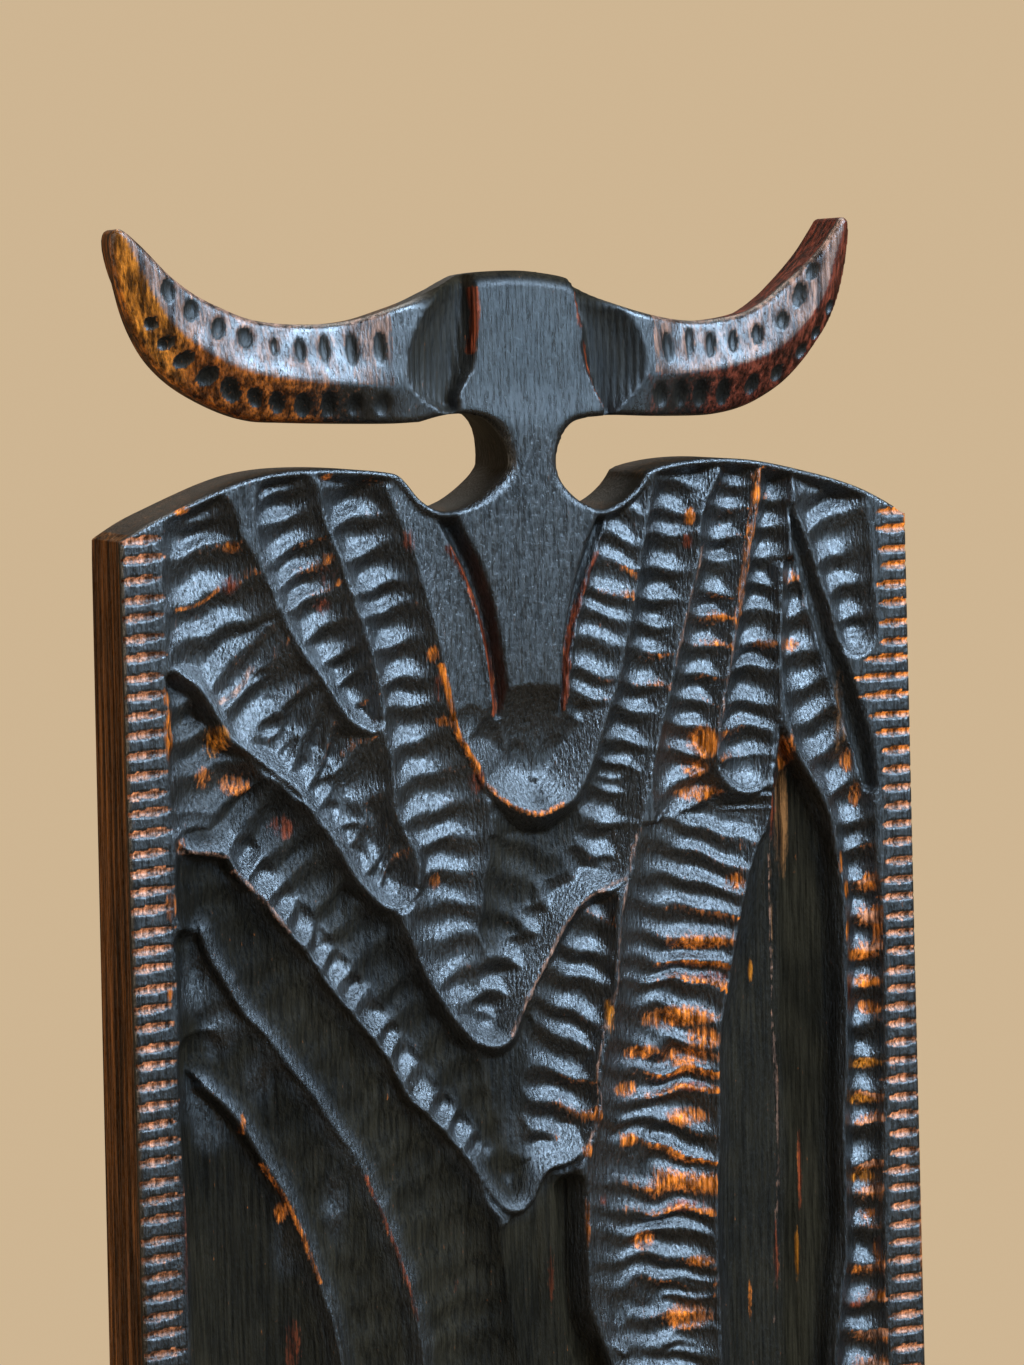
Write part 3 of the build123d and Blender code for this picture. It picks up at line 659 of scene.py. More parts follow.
def carve_field(c):
    """All the flutes, in front of the two plain grounds."""
    c.groove(GROUND_RIGHT, 7.5, flat=5, dry=0.8)
    c.groove(GROUND_STEP, 9.6, flat=6, dry=1.0)
    c.groove(GROUND_LEFT, 9.5, flat=4, dry=0.9)
    c.groove(V4_LEFT, 7.2, flat=2.2, lean=-0.25, pitch=16, bite=0.9, dry=0.88)
    c.groove(V3_LEFT, 7.4, flat=2.2, lean=0.1, pitch=15, bite=1.0, dry=0.88)
    c.groove(V3_MIDDLE, 8.0, flat=3, dry=0.9)
    c.groove(V3_DARK, 10.5, flat=2.5, dry=1.0)
    c.groove(V2_LEFT, 7.0, flat=2.2, lean=0.25, pitch=13, bite=(3.2, 0.5), dry=(0.3, 0.95))
    c.groove(V2_MIDDLE, 7.4, flat=2.4, dry=0.6)
    c.groove(V2_RIGHT, 6.6, flat=2.2, lean=0.35, pitch=11.5, bite=2.3, slant=(-0.1, -0.28), wear=0.5,
             wear_side=1)
    c.groove(V1_MIDDLE, 8.4, flat=2.2, pitch=13, bite=1.3, dry=0.65)
    c.groove(FLUTE_C, 5.8, pitch=12, bite=(3.4, 1.1), slant=(-0.05, -0.12), bow=-0.12, soft=0.75,
             top_open=True, wear=0.25, wear_side=1)
    c.groove(V1_RIGHT, 6.6, pitch=12.5, bite=2.7, slant=(0.1, 0.1), lean=0.2, wear=0.2, wear_side=1)
    c.groove(FLUTE_D, 5.4, pitch=10.8, bite=2.6, slant=(0.1, 0.05), top_open=True, wear=0.55, wear_side=1)
    c.groove(OUTER_BAND, 6.2, flat=2.2, pitch=13, bite=2.8, slant=(0.06, 0.06), split=0.6, soft=0.4,
             wear=0.4, wear_side=1)
    c.groove(OUTER_BAND_STEPS, 6.2, pitch=9.6, bite=2.3)
    c.groove(FLUTE_B, 6.0, pitch=10, bite=3.0, slant=(0.12, 0.12), soft=0.6, wear=0.6, wear_side=1)
    c.groove(FLUTE_E, 5.8, flat=2.4, pitch=10.2, bite=2.6, slant=(0.14, -0.3), split=0.55, soft=-0.5,
             top_open=True, wear=1.3, wear_side=1)
    c.groove(WIDE_TAIL, 5.4, pitch=10.5, bite=2.3, slant=(-0.2, -0.2), wear=0.8, wear_side=1)
    c.groove(FLUTE_F, 5.6, pitch=10.8, bite=2.6, slant=(0.08, 0.08), bow=-0.15, top_open=True,
             wear=0.55, wear_side=-1)
    c.groove(WALL_GH, 6.6, flat=2.0, dry=0.5)
    c.groove(FLUTE_G, 5.4, flat=2.6, pitch=13, bite=2.6, slant=(0.12, 0.0), wear=1.4, wear_side=1)
    c.groove(FLUTE_H, 5.2, pitch=12.5, bite=2.4, slant=(0.15, 0.15), top_open=True)
    c.groove(FACET_LEFT, 2.0, flat=3, lean=0.6)
    c.groove(FACET_RIGHT, 3.0, flat=2.4, lean=-0.4, pitch=10, bite=1.8, slant=(-0.1, -0.1), wear=0.7,
             wear_side=1)
    for x, z, half_x, half_z, deep, turn in DISHES:
        c.dish(x, z, half_x, half_z, deep, turn)
    for x, z, wide, tall, turn in BOWL_LOBES:
        c.dent(x, z, wide, tall, 1.5, turn)
    for crest, left_slope, right_slope, points in ARRISES:
        c.arris(crest, left_slope, right_slope, points)
    c.groove(V2_STEPS, 0, pitch=11, bite=2.4, slant=(0.1, 0.1), add=True)
    c.groove(TONGUE_GROOVE_LEFT, 7.0, flat=1.6, dry=0.4)
    c.groove(TONGUE_GROOVE_RIGHT, 6.0, flat=1.6, dry=0.4)


def carve_notches(c):
    """The rows of small gouge cuts down both edges."""
    random = np.random.default_rng(NOTCH_SEED)
    for side in (-1, 1):
        for row in range(NOTCH_ROWS):
            z = NOTCH_TOP - row * NOTCH_PITCH + random.uniform(-0.5, 0.5)
            inner = NOTCH_INNER[side] + random.uniform(-0.8, 1.6)
            if side > 0 and 398 < z < 431:
                inner -= 10 - abs(z - 419) * 0.42
            middle = side * (inner + NOTCH_OUTER) / 2
            across = (c.x - middle) / ((NOTCH_OUTER - inner) / 2)
            up = (c.z - z - NOTCH_TILT[side] * (c.x - middle)) / NOTCH_HALF
            lens = 1 - across**2 - np.abs(up) ** 1.6
            hit = lens > 0
            c.depth[hit] = np.maximum(c.depth[hit], 0) + NOTCH_DEPTH * lens[hit] ** 0.8
            c.wear[hit] = 0.7 + 0.3 * smooth(-0.2, 0.5, up[hit])
            c.crest[hit] = smooth(-0.5, 0.3, up[hit])
            c.dry[hit] = 0.15


def carve_grain(c):
    """Long splits and raised fibres along the grain in the dry grounds."""
    random = np.random.default_rng(GRAIN_SEED)
    dry = c.dry > 0.55
    for _ in range(420):
        x, z = random.uniform(-134, 137), random.uniform(36, 420)
        wide, tall = random.uniform(0.8, 1.7), random.uniform(10, 46)
        slant = random.uniform(-0.03, 0.03)
        near = dry & (np.abs(c.z - z) < tall) & (np.abs(c.x - x) < 5)
        across = (c.x[near] - x - slant * (c.z[near] - z)) / wide
        up = (c.z[near] - z) / tall
        c.depth[near] += random.uniform(-0.25, 0.75) * np.clip(1 - across**2, 0, 1) * (1 - up**2)


def horn_depth(x, z, ridge, outer_slope):
    """Two facets that fall away from a ridge drawn along the horn."""
    line = curve(ridge)
    here = np.stack([x, z], axis=1)
    index, gap = nearest(line, here)
    way = np.gradient(line, axis=0)
    offset = here - line[index]
    above = offset[:, 1] * way[index, 0] - offset[:, 0] * way[index, 1] > 0
    soft = np.sqrt(gap**2 + 1.0) - 1.0
    return 3.0 + soft * np.where(above, 0.27, outer_slope), above


def carve_finial(c):
    """The head, the horns and the neck. Sets the depth above the shoulders."""
    high = c.z > FINIAL_Z
    x, z = c.x[high], c.z[high]
    left = horn_depth(x, z, RIDGE_LEFT, 0.62)[0] * (0.3 + 0.7 * smooth(-42, -68, x))
    right = horn_depth(x, z, RIDGE_RIGHT, 0.62)[0] * (0.3 + 0.7 * smooth(46, 70, x))
    to_left = smooth(-24, -34, x)
    to_right = smooth(28, 38, x)
    flat = 0.9 * smooth(514, 534, z)
    c.depth[high] = flat + (left - flat) * to_left + (right - flat) * to_right
    c.groove(HEAD_SCOOP_LEFT, 8.5, flat=1.9, lean=0.45, dry=0.6)
    c.groove(HEAD_SCOOP_RIGHT, 8.0, flat=1.9, lean=-0.55, dry=0.6)
    striped = high & (c.dry > 0.5)
    c.depth[striped] += 0.3 * np.sin(2.5 * c.x[striped] + 1.5 * np.sin(0.16 * c.z[striped]))
    for x, z, width, height, turn in HORN_DIMPLES:
        c.dent(x, z, width, height, 1.7, turn, dry=0.7)


def round_edges(c, gap):
    """Softens the rim: a wide round on the head's top and the neck, a small one elsewhere."""
    crown = smooth(-44, -30, c.x) * smooth(42, 30, c.x) * smooth(550, 562, c.z)
    neck = smooth(484, 492, c.z) * smooth(524, 516, c.z) * smooth(-30, -16, c.x) * smooth(34, 20, c.x)
    radius = 1.1 + 3.6 * crown + 2.6 * neck + 0.9 * (c.z > FINIAL_Z)
    inner = np.clip(radius - gap, 0, radius)
    c.depth += radius - np.sqrt(radius**2 - inner**2)
    c.dry = np.maximum(c.dry, crown * smooth(4.6, 3.4, gap))


def soften(values, quads):
    """Spreads values a little over neighbouring points."""
    shares = np.bincount(quads.ravel(), minlength=len(values))
    for _ in range(8):
        mean = values[quads].mean(axis=1)
        values = np.bincount(quads.ravel(), weights=np.repeat(mean, 4), minlength=len(values)) / shares
    return values


def carve_front(sheet, gap):
    """The whole front: flutes kept off the rim, then grain, edge cuts, finial and softened edges."""
    c = Carving(sheet.points)
    carve_field(c)
    near_rim = np.clip(gap - 1.6, 0, None) * 1.7
    c.depth = np.where(c.z < FINIAL_Z, np.minimum(c.depth, near_rim), c.depth)
    carve_grain(c)
    carve_notches(c)
    carve_finial(c)
    round_edges(c, gap)
    for x, z, half_x, half_z in POLISHED:
        c.dry *= np.clip(((c.x - x) / half_x) ** 2 + ((c.z - z) / half_z) ** 2 - 0.3, 0, 1)
    c.dry = soften(c.dry, sheet.quads)
    return c


# ------------------------------------------------------------------ colour of the bare timber
ORANGE = (0.66, 0.150, 0.016)
AMBER = (0.60, 0.175, 0.018)
MAHOGANY = (0.12, 0.022, 0.010)
RED = (0.22, 0.038, 0.012)
PINK = (0.36, 0.175, 0.110)
SIDE = (0.145, 0.055, 0.017)
# patches rubbed through to bare timber: x, z, half-width, half-height, amount, colour
PATCHES = [
    (-134.5, 412, 2.2, 11, 1.0, ORANGE), (-135, 426, 2.2, 4, 0.8, ORANGE), (-116, 409, 5, 7, 0.72, AMBER),
    (-121, 396, 4, 5, 0.6, ORANGE), (-109, 393, 7, 5, 0.7, ORANGE), (-131, 373, 3, 4, 0.45, ORANGE),
    (-136, 352, 2.4, 7, 0.8, ORANGE), (-137.5, 322, 1.4, 4, 0.7, ORANGE),
    (-128, 491, 3.5, 2.2, 0.9, ORANGE), (-74, 501, 2.5, 1.6, 1.0, ORANGE),
    (-109, 477, 3.5, 3, 0.7, ORANGE), (-110, 464, 4.5, 4.5, 0.7, RED), (-75, 455, 4, 4, 0.7, RED),
    (-74, 466, 4, 5, 0.5, RED), (-92, 377, 6, 5, 0.6, RED), (-36, 354, 3, 3.5, 1.0, ORANGE),
    (-35.5, 436, 2.2, 4, 0.9, ORANGE), (-32, 412, 3, 2.5, 0.9, ORANGE), (-34, 424, 2, 6, 0.6, RED),
    (-44, 477, 3, 5, 0.5, RED), (-20, 390, 4, 6, 0.7, RED), (65, 482, 2, 4, 1.0, ORANGE),
    (64, 473, 2, 3.5, 0.8, RED), (91, 489, 1.8, 4, 0.9, ORANGE), (69, 399, 6, 7, 1.0, ORANGE),
    (66, 389, 5, 4, 0.9, ORANGE), (67, 380, 10, 3.4, 1.0, ORANGE), (80, 347, 4, 4, 1.0, ORANGE),
    (66, 325, 15, 3.4, 1.0, ORANGE), (57, 298, 16, 5, 1.1, ORANGE), (66, 290, 7, 5, 1.0, ORANGE),
    (60, 283, 12, 4.4, 0.9, ORANGE), (42, 286, 9, 3.2, 0.9, ORANGE), (36, 273, 6, 3.4, 1.0, ORANGE),
    (60, 261, 10, 4, 1.0, ORANGE), (37, 254, 5, 3.4, 0.9, ORANGE), (57, 237, 9, 4, 1.1, ORANGE),
    (58, 228, 10, 3, 0.7, RED), (42, 216, 6, 4, 1.0, ORANGE), (63, 207, 6, 3, 0.8, ORANGE),
    (63, 272, 7, 2.6, 0.8, RED), (70, 312, 7, 3, 0.8, RED), (26, 233, 3, 2.4, 0.7, RED),
    (29, 301, 1.8, 7, 1.0, AMBER), (23.5, 265, 2, 4, 0.9, ORANGE), (19, 252, 2.5, 3, 0.9, ORANGE),
    (18.4, 226, 1.0, 12, 0.8, ORANGE), (58, 186, 10, 6, 1.0, ORANGE), (101, 392, 3.6, 9, 0.9, ORANGE),
    (101, 372, 4.5, 30, 0.75, SIDE), (124, 404, 3, 22, 0.6, SIDE), (97, 372, 1.6, 16, 0.7, RED),
    (96.5, 340, 0.8, 28, 0.5, SIDE), (97, 262, 0.9, 28, 0.55, PINK), (95.5, 205, 1.1, 18, 0.7, RED),
    (106.5, 236, 1.2, 20, 0.7, RED), (105, 205, 1.2, 12, 0.8, AMBER), (87, 313, 1.4, 5, 1.0, AMBER),
    (84.5, 190, 1.0, 10, 0.7, ORANGE), (127, 389, 3, 6, 0.9, ORANGE), (130, 376, 2.4, 6, 0.8, ORANGE),
    (122, 352, 1.6, 5, 0.9, ORANGE), (124.6, 341, 2.0, 4, 0.9, ORANGE), (134.6, 343, 3, 5, 0.9, ORANGE),
    (124.4, 326, 1.5, 5, 0.9, ORANGE), (137, 326, 1.6, 6, 0.9, ORANGE), (131, 316, 7, 3, 1.1, ORANGE),
    (133, 306, 5, 3, 1.1, ORANGE), (134, 296, 4.5, 3.2, 1.1, ORANGE), (125, 304, 1.4, 6, 0.8, RED),
    (132, 275, 6, 2.6, 1.1, AMBER), (131, 261.5, 7, 2.6, 1.1, AMBER), (131, 232, 6, 3, 1.1, AMBER),
    (132, 218, 5, 2.6, 0.8, ORANGE), (135.4, 203, 1.8, 8, 0.8, ORANGE), (128, 197, 4, 2.4, 0.8, ORANGE),
    (135.5, 187, 1.6, 3, 1.0, ORANGE), (127, 184, 4, 2, 0.8, RED), (106, 433, 4, 3, 0.8, ORANGE),
    (94, 434, 5, 2.5, 0.6, ORANGE), (-97, 239, 2.6, 5, 0.8, ORANGE), (-111, 272, 1.6, 5, 0.6, ORANGE),
    (-31, 207, 1.6, 5, 0.5, RED), (6, 205, 1.2, 14, 0.6, RED), (-93, 190, 4, 12, 0.5, RED),
    (-134.4, 230, 1.6, 30, 0.5, RED), (153, 210, 2.4, 40, 0.6, ORANGE), (150, 477, 1.6, 4, 0.8, ORANGE),
]
# streaks that follow a line: points, half-width, amount, colour
STREAKS = [
    ([(-29, 474), (-24, 466), (-18.5, 452), (-14.5, 438), (-12.6, 424), (-12, 414)], 1.6, 0.85, RED),
    ([(28, 470), (23, 458), (18, 444), (15.6, 430), (14.4, 414)], 1.1, 0.65, RED),
    ([(-17, 566), (-16.6, 556), (-18.5, 544)], 1.4, 0.9, RED),
    ([(91.2, 497), (89.6, 482), (87.2, 470), (84.6, 456), (81.6, 441)], 2.0, 0.36, ORANGE),
    ([(81, 438), (78.4, 425), (75.6, 412), (73.4, 400)], 1.0, 0.45, PINK),
    ([
        (41.7, 369), (37, 352), (33, 332), (31.6, 312), (28, 300), (24, 282), (24, 266), (19, 254),
    ], 0.8, 0.45, PINK),
    ([(-9, 297.5), (-3, 309), (5, 323), (12, 335), (19, 343), (27, 347.4), (36, 351)], 1.0, 0.55, PINK),
    ([(-33, 432), (-31, 424), (-27.4, 408), (-20, 395)], 1.3, 0.9, ORANGE),
    ([(-112, 363), (-103, 354), (-92, 340)], 0.9, 0.6, PINK),
    ([(-104, 257), (-96, 244), (-89, 228), (-84, 213)], 1.0, 0.65, ORANGE),
    ([(-66, 250), (-58, 230), (-52, 212), (-48, 196)], 0.9, 0.55, RED),
    ([(69.6, 470), (66, 458), (61.5, 443), (57.4, 428)], 1.0, 0.5, PINK),
    ([
        (96.6, 372), (96, 345), (95.6, 300), (96.4, 270), (97, 240), (95.4, 210), (94.6, 180),
    ], 0.8, 0.34, PINK),
    ([(21.6, 564), (22, 558), (23, 552)], 0.9, 0.8, RED),
    ([(26, 546), (27, 536), (29.5, 528), (32.5, 523)], 0.9, 1.0, RED),
    ([(-22, 396), (-17, 389), (-11, 383), (-4, 378.5), (4, 376.8), (12, 379.5)], 1.2, 0.6, ORANGE),
    ([(-130, 456), (-120, 458), (-112, 464)], 1.0, 0.5, ORANGE),
    ([(-114, 423), (-107, 427), (-102, 434)], 1.3, 0.6, PINK),
    ([(-132, 371), (-122, 370), (-114, 368)], 0.9, 0.5, PINK),
]


def paint(c):
    """Colour of bare timber and how much of it shows, at every front point."""
    tone = np.tile(np.array(ORANGE), (len(c.x), 1))
    show = c.wear.copy()
    notch = (np.abs(c.x) > 126) & (c.z < 500) & (c.wear > 0.6)
    rusty = np.where(c.x > 0, 0.45 + 0.55 * smooth(372, 400, c.z), 0.4)
    upper = (c.crest * rusty)[:, None]
    cut_tone = np.array(PINK) * (1 - upper) + np.array(ORANGE) * 1.2 * upper
    tone = np.where(notch[:, None], cut_tone, tone)
    for x, z, half_x, half_z, amount, colour in PATCHES:
        spot = amount * np.clip(1.15 - ((c.x - x) / half_x) ** 2 - ((c.z - z) / half_z) ** 2, 0, 1)
        spot *= 0.62 + 0.38 * c.crest
        over = spot > show
        tone[over] = colour
        show = np.maximum(show, spot)
    for points, half, amount, colour in STREAKS:
        line = curve(points)
        near, here = near_line(c, line, 5)
        _, away = nearest(line, here)
        spot = amount * np.clip(1.3 - (away / half) ** 2, 0, 1)
        over = spot > show[near]
        tone[near[over]] = colour
        show[near] = np.maximum(show[near], spot)
    paint_horns(c, tone, show)
    return tone, np.clip(show, 0, 1)


def paint_horns(c, tone, show):
    """Bare timber on the outer facets of the horns and at their tips."""
    horn = c.z > 516
    x, z = c.x[horn], c.z[horn]
    _, above_left = horn_depth(x, z, RIDGE_LEFT, 1)
    _, above_right = horn_depth(x, z, RIDGE_RIGHT, 1)
    under_left = (x < -44) & ~above_left
    under_right = (x > 48) & ~above_right
    part_show = show[horn]
    part_tone = tone[horn]
    amount = smooth(-48, -100, x) * 0.95
    part_show = np.where(under_left, amount, part_show)
    tip = smooth(-118, -132, x)[:, None]
    bare = np.array(ORANGE) * 0.42 * (1 - tip) + np.array(AMBER) * 0.8 * tip
    part_tone = np.where(under_left[:, None], bare, part_tone)
    amount = 0.25 + 0.6 * smooth(60, 90, x)
    part_show = np.where(under_right, amount, part_show)
    part_tone = np.where(under_right[:, None], np.array(MAHOGANY), part_tone)
    upper = (above_left & (x < -48)) | (above_right & (x > 52))
    mottle = np.sin(0.34 * x + 2 * np.sin(0.21 * z)) * np.sin(0.29 * z + 1.6 * np.sin(0.17 * x))
    part_show = np.where(upper, 0.55 + 0.3 * mottle + 0.25 * smooth(70, 125, np.abs(x)), part_show)
    part_tone = np.where(upper[:, None], np.array(PINK) * (0.6 - 0.15 * mottle[:, None]), part_tone)
    show[horn] = part_show
    tone[horn] = part_tone
    dimple = horn & (c.crest == 0)
    show[dimple] *= 0.12


# ------------------------------------------------------------------ the timber as one closed mesh
def back_shift(outline):
    """How far the back outline stands from the front one at each place."""
    x, z = outline[:, 0], outline[:, 1]
    shift = np.zeros_like(outline)
    body = smooth(500, 470, z)
    foot = 1 - np.clip(z / 480, 0, 1)
    shift[:, 0] = np.where(x < 0, -1, 0.12) * (0.5 + 4.0 * foot) * body * smooth(120, 148, np.abs(x))
    following = np.roll(outline, -3, axis=0)
    before = np.roll(outline, 3, axis=0)
    way = following - before
    way /= np.hypot(way[:, 0], way[:, 1])[:, None]
    tuck = smooth(505, 520, z) * (3.0 + 4.0 * smooth(-50, -90, x)) * (1 - tip_taper(x, z, 3, 34) ** 0.5)
    inward = np.stack([-way[:, 1], way[:, 0]], axis=1) * tuck[:, None]
    return shift, inward


def tip_taper(x, z, near=0, far=60):
    """1 at the points of the horns and 0 along the rest of the timber."""
    left = smooth(far, near, np.hypot(x - LEFT_TIP[0], z - LEFT_TIP[1]))
    right = smooth(far, near, np.hypot(x - RIGHT_TIP[0], z - RIGHT_TIP[1]))
    return np.maximum(left, right)


def back_depth(x, z):
    """Depth of the back edge behind the front plane: the finial is set in, and its tips are thin."""
    left_tip = tip_taper(x, z) * (x < 0)
    right_tip = tip_taper(x, z) * (x > 0)
    return THICK - 1.2 - 2.0 * smooth(505, 520, z) - 19 * left_tip - 9 * right_tip


def timber():
    """The plank as one closed mesh: carved front, side rings down to the back edge, then the back."""
    outline = outline_points()
    total = len(outline)
    shift, inward = back_shift(outline)
    front = Sheet(outline, STEP)
    _, gap = nearest(outline, front.points)
    c = carve_front(front, gap)
    tone, show = paint(c)

    points = [np.column_stack([front.points[:, 0], FRONT_Y + c.depth, front.points[:, 1]])]
    quads = [front.quads]
    triangles = []
    tones = [tone]
    shows = [show]
    drys = [c.dry]

    place = front.place
    start_depth = c.depth[front.loop]
    rim = along(outline, place)
    end_depth = back_depth(rim[:, 0], rim[:, 1])
    ring = front.loop
    count = len(front.points)
    side_tone, side_show = side_colour_and_neck_shade(rim)
    sideways, tucked = along(shift, place), along(inward, place)
    for share in (0.03, 0.1, 0.22, 0.36, 0.5, 0.64, 0.78, 0.9, 0.98):
        depth = start_depth + (end_depth - start_depth) * share
        edge = rim + sideways * share + tucked * smooth(0.3, 1.0, share)
        points.append(np.column_stack([edge[:, 0], FRONT_Y + depth, edge[:, 1]]))
        following = count + np.arange(len(rim))
        quads.append(np.stack([ring, following, np.roll(following, -1), np.roll(ring, -1)], axis=1))
        ring = following
        count += len(rim)
        tones.append(side_tone)
        shows.append(side_show * smooth(0.0, 0.12, share))
        drys.append(np.full(len(rim), 0.6))

    back_outline = outline + shift + inward
    back = Sheet(back_outline, BACK_STEP)
    x, z = back.points[:, 0], back.points[:, 1]
    _, inset = nearest(back_outline, back.points)
    hollow = 0.5 * adze(x, z) * smooth(2, 14, inset) * clear_of_hardware(x, z)
    swell = 1.2 * np.sqrt(np.clip(1 - (1 - inset / 2.5) ** 2, 0, 1)) * (inset < 2.5) + 1.2 * (inset >= 2.5)
    points.append(np.column_stack([x, FRONT_Y + back_depth(x, z) + swell - hollow, z]))
    quads.append(back.quads[:, ::-1] + count)
    triangles.append(stitch(ring, place, back.loop + count, back.place, total))
    tones.append(np.tile(np.array(SIDE), (len(x), 1)))
    shows.append(np.full(len(x), 0.55))
    drys.append(np.full(len(x), 0.9))

    quads, triangles = np.vstack(quads), np.vstack(triangles)
    mesh = make_mesh("carved_timber", np.vstack(points), quads, triangles)
    colour = mesh.attributes.new("tone", "FLOAT_COLOR", "POINT")
    rgba = np.column_stack([np.vstack(tones), np.ones(len(np.vstack(tones)))])
    colour.data.foreach_set("color", rgba.astype(np.float32).ravel())
    gouged = 0.25 + 0.75 * smooth(524, 506, np.vstack(points)[:, 2])
    for name, values in (("show", shows), ("dry", drys), ("gouged", [gouged])):
        layer = mesh.attributes.new(name, "FLOAT", "POINT")
        layer.data.foreach_set("value", np.concatenate(values).astype(np.float32))
    piece = bpy.data.objects.new("carved_timber", mesh)
    bpy.context.collection.objects.link(piece)
    return piece


def side_colour_and_neck_shade(rim):
    """Colour round the edge of the plank: brown side grain on the left, darker end grain on top, and
    painted shade on the neck's inner walls.
    """
    x, z = rim[:, 0], rim[:, 1]
    tone = np.tile(np.array(SIDE), (len(x), 1))
    show = np.full(len(x), 0.75)
    show[z > 483] = 0.3
    # painted shade: the side walls in the neck holes are kept nearly all black char, as if in shadow
    show[(z > 488) & (np.abs(x) < 46)] = 0.12
    horn = z > FINIAL_Z
    tone[horn & (x < -60)] = np.array(AMBER) * 0.4
    tone[horn & (x > 60)] = MAHOGANY
    show[horn] = 0.5
    show[horn & (x > 84) & (z > 553)] = 0.95
    # painted shade: the neck's walls above the shoulders are kept nearly all black char, and the rim round
    # the head is darkened with them
    show[horn & (np.abs(x) < 42)] = 0.1
    return tone, show


def adze(x, z):
    """Shallow overlapping hollows left by the adze on the back."""
    random = np.random.default_rng(ADZE_SEED)
    height = np.zeros(len(x))
    for _ in range(150):
        cx, cz = random.uniform(-150, 150), random.uniform(5, 570)
        wide, tall = random.uniform(12, 20), random.uniform(30, 55)
        height = np.maximum(height, 1 - ((x - cx) / wide) ** 2 - ((z - cz) / tall) ** 2)
    return height


def clear_of_hardware(x, z):
    """0 under the straps and bumpers, which lie flat on the back, and 1 elsewhere."""
    free = np.ones(len(x))
    for node in ("hanger_strap_left", "hanger_strap_right", "bumper_top_left", "bumper_top_right",
                 "bumper_bottom_left", "bumper_bottom_right"):
        low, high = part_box(node)
        dx = np.maximum(np.maximum(low[0] / MM - x, x - high[0] / MM), 0)
        dz = np.maximum(np.maximum(low[2] / MM - z, z - high[2] / MM), 0)
        free *= smooth(3, 14, np.hypot(dx, dz))
    return free


def make_mesh(name, points, quads, triangles):
    """A smooth-shaded mesh from points in millimetres."""
    mesh = bpy.data.meshes.new(name)
    mesh.vertices.add(len(points))
    mesh.vertices.foreach_set("co", (points * MM).astype(np.float32).ravel())
    loops = np.concatenate([quads.ravel(), triangles.ravel()]).astype(np.int32)
    starts = np.concatenate([np.arange(len(quads)) * 4, quads.size + np.arange(len(triangles)) * 3])
    mesh.loops.add(len(loops))
    mesh.loops.foreach_set("vertex_index", loops)
    mesh.polygons.add(len(starts))
    mesh.polygons.foreach_set("loop_start", starts.astype(np.int32))
    mesh.polygons.foreach_set("use_smooth", np.ones(len(starts), bool))
    mesh.update(calc_edges=True)
    return mesh


# ------------------------------------------------------------------ materials
class Shading:
    """A material, with short ways to add the nodes that it is made of."""

    def __init__(self, name):
        self.material = bpy.data.materials.new(name)
        self.material.use_nodes = True
        self.nodes = self.material.node_tree.nodes
        self.link = self.material.node_tree.links.new
        self.sockets = self.nodes["Principled BSDF"].inputs

    def noise(self, scale, detail=4.0, rough=0.6, seed=(0, 0, 0)):
        """Noise in the object's own metres, stretched by a scale for each axis."""
        coords = self.nodes.new("ShaderNodeTexCoord")
        mapping = self.nodes.new("ShaderNodeMapping")
        mapping.inputs["Scale"].default_value = scale
        mapping.inputs["Location"].default_value = seed
        tex = self.nodes.new("ShaderNodeTexNoise")
        tex.inputs["Scale"].default_value = 1.0
        tex.inputs["Detail"].default_value = detail
        tex.inputs["Roughness"].default_value = rough
        self.link(coords.outputs["Object"], mapping.inputs["Vector"])
        self.link(mapping.outputs["Vector"], tex.inputs["Vector"])
        return tex.outputs["Fac"]

    def ramp(self, source, stops):
        """Maps a value through stops, each a position and a grey."""
        node = self.nodes.new("ShaderNodeValToRGB")
        elements = node.color_ramp.elements
        for element, (place, grey) in zip(elements, stops):
            element.position = place
            element.color = (grey, grey, grey, 1.0)
        self.link(source, node.inputs["Fac"])
        return node.outputs["Color"]

    def fill(self, socket, value):
        """Links a socket to another one, or gives it a number or a colour."""
        if isinstance(value, bpy.types.NodeSocket):
            self.link(value, socket)
        elif isinstance(value, (int, float)):
            socket.default_value = value
        else:
            socket.default_value = (*value, 1.0)

    def mix(self, factor, a, b, blend="MIX"):
        node = self.nodes.new("ShaderNodeMix")
        node.data_type = "RGBA"
        node.blend_type = blend
        for place, value in ((0, factor), (6, a), (7, b)):
            self.fill(node.inputs[place], value)
        return node.outputs[2]

    def times(self, a, b):
        return self.math("MULTIPLY", a, b)

    def plus(self, a, b):
        return self.math("ADD", a, b)

    def minus(self, a, b):
        return self.math("SUBTRACT", a, b)

    def math(self, operation, a, b):
        node = self.nodes.new("ShaderNodeMath")
        node.operation = operation
        self.fill(node.inputs[0], a)
        self.fill(node.inputs[1], b)
        return node.outputs[0]

    def attribute(self, name, output="Fac"):
        node = self.nodes.new("ShaderNodeAttribute")
        node.attribute_name = name
        return node.outputs[output]

    def bump(self, height, strength, distance, under=None):
        node = self.nodes.new("ShaderNodeBump")
        node.inputs["Strength"].default_value = strength
        node.inputs["Distance"].default_value = distance
        self.link(height, node.inputs["Height"])
        if under:
            self.link(under, node.inputs["Normal"])
        return node.outputs["Normal"]


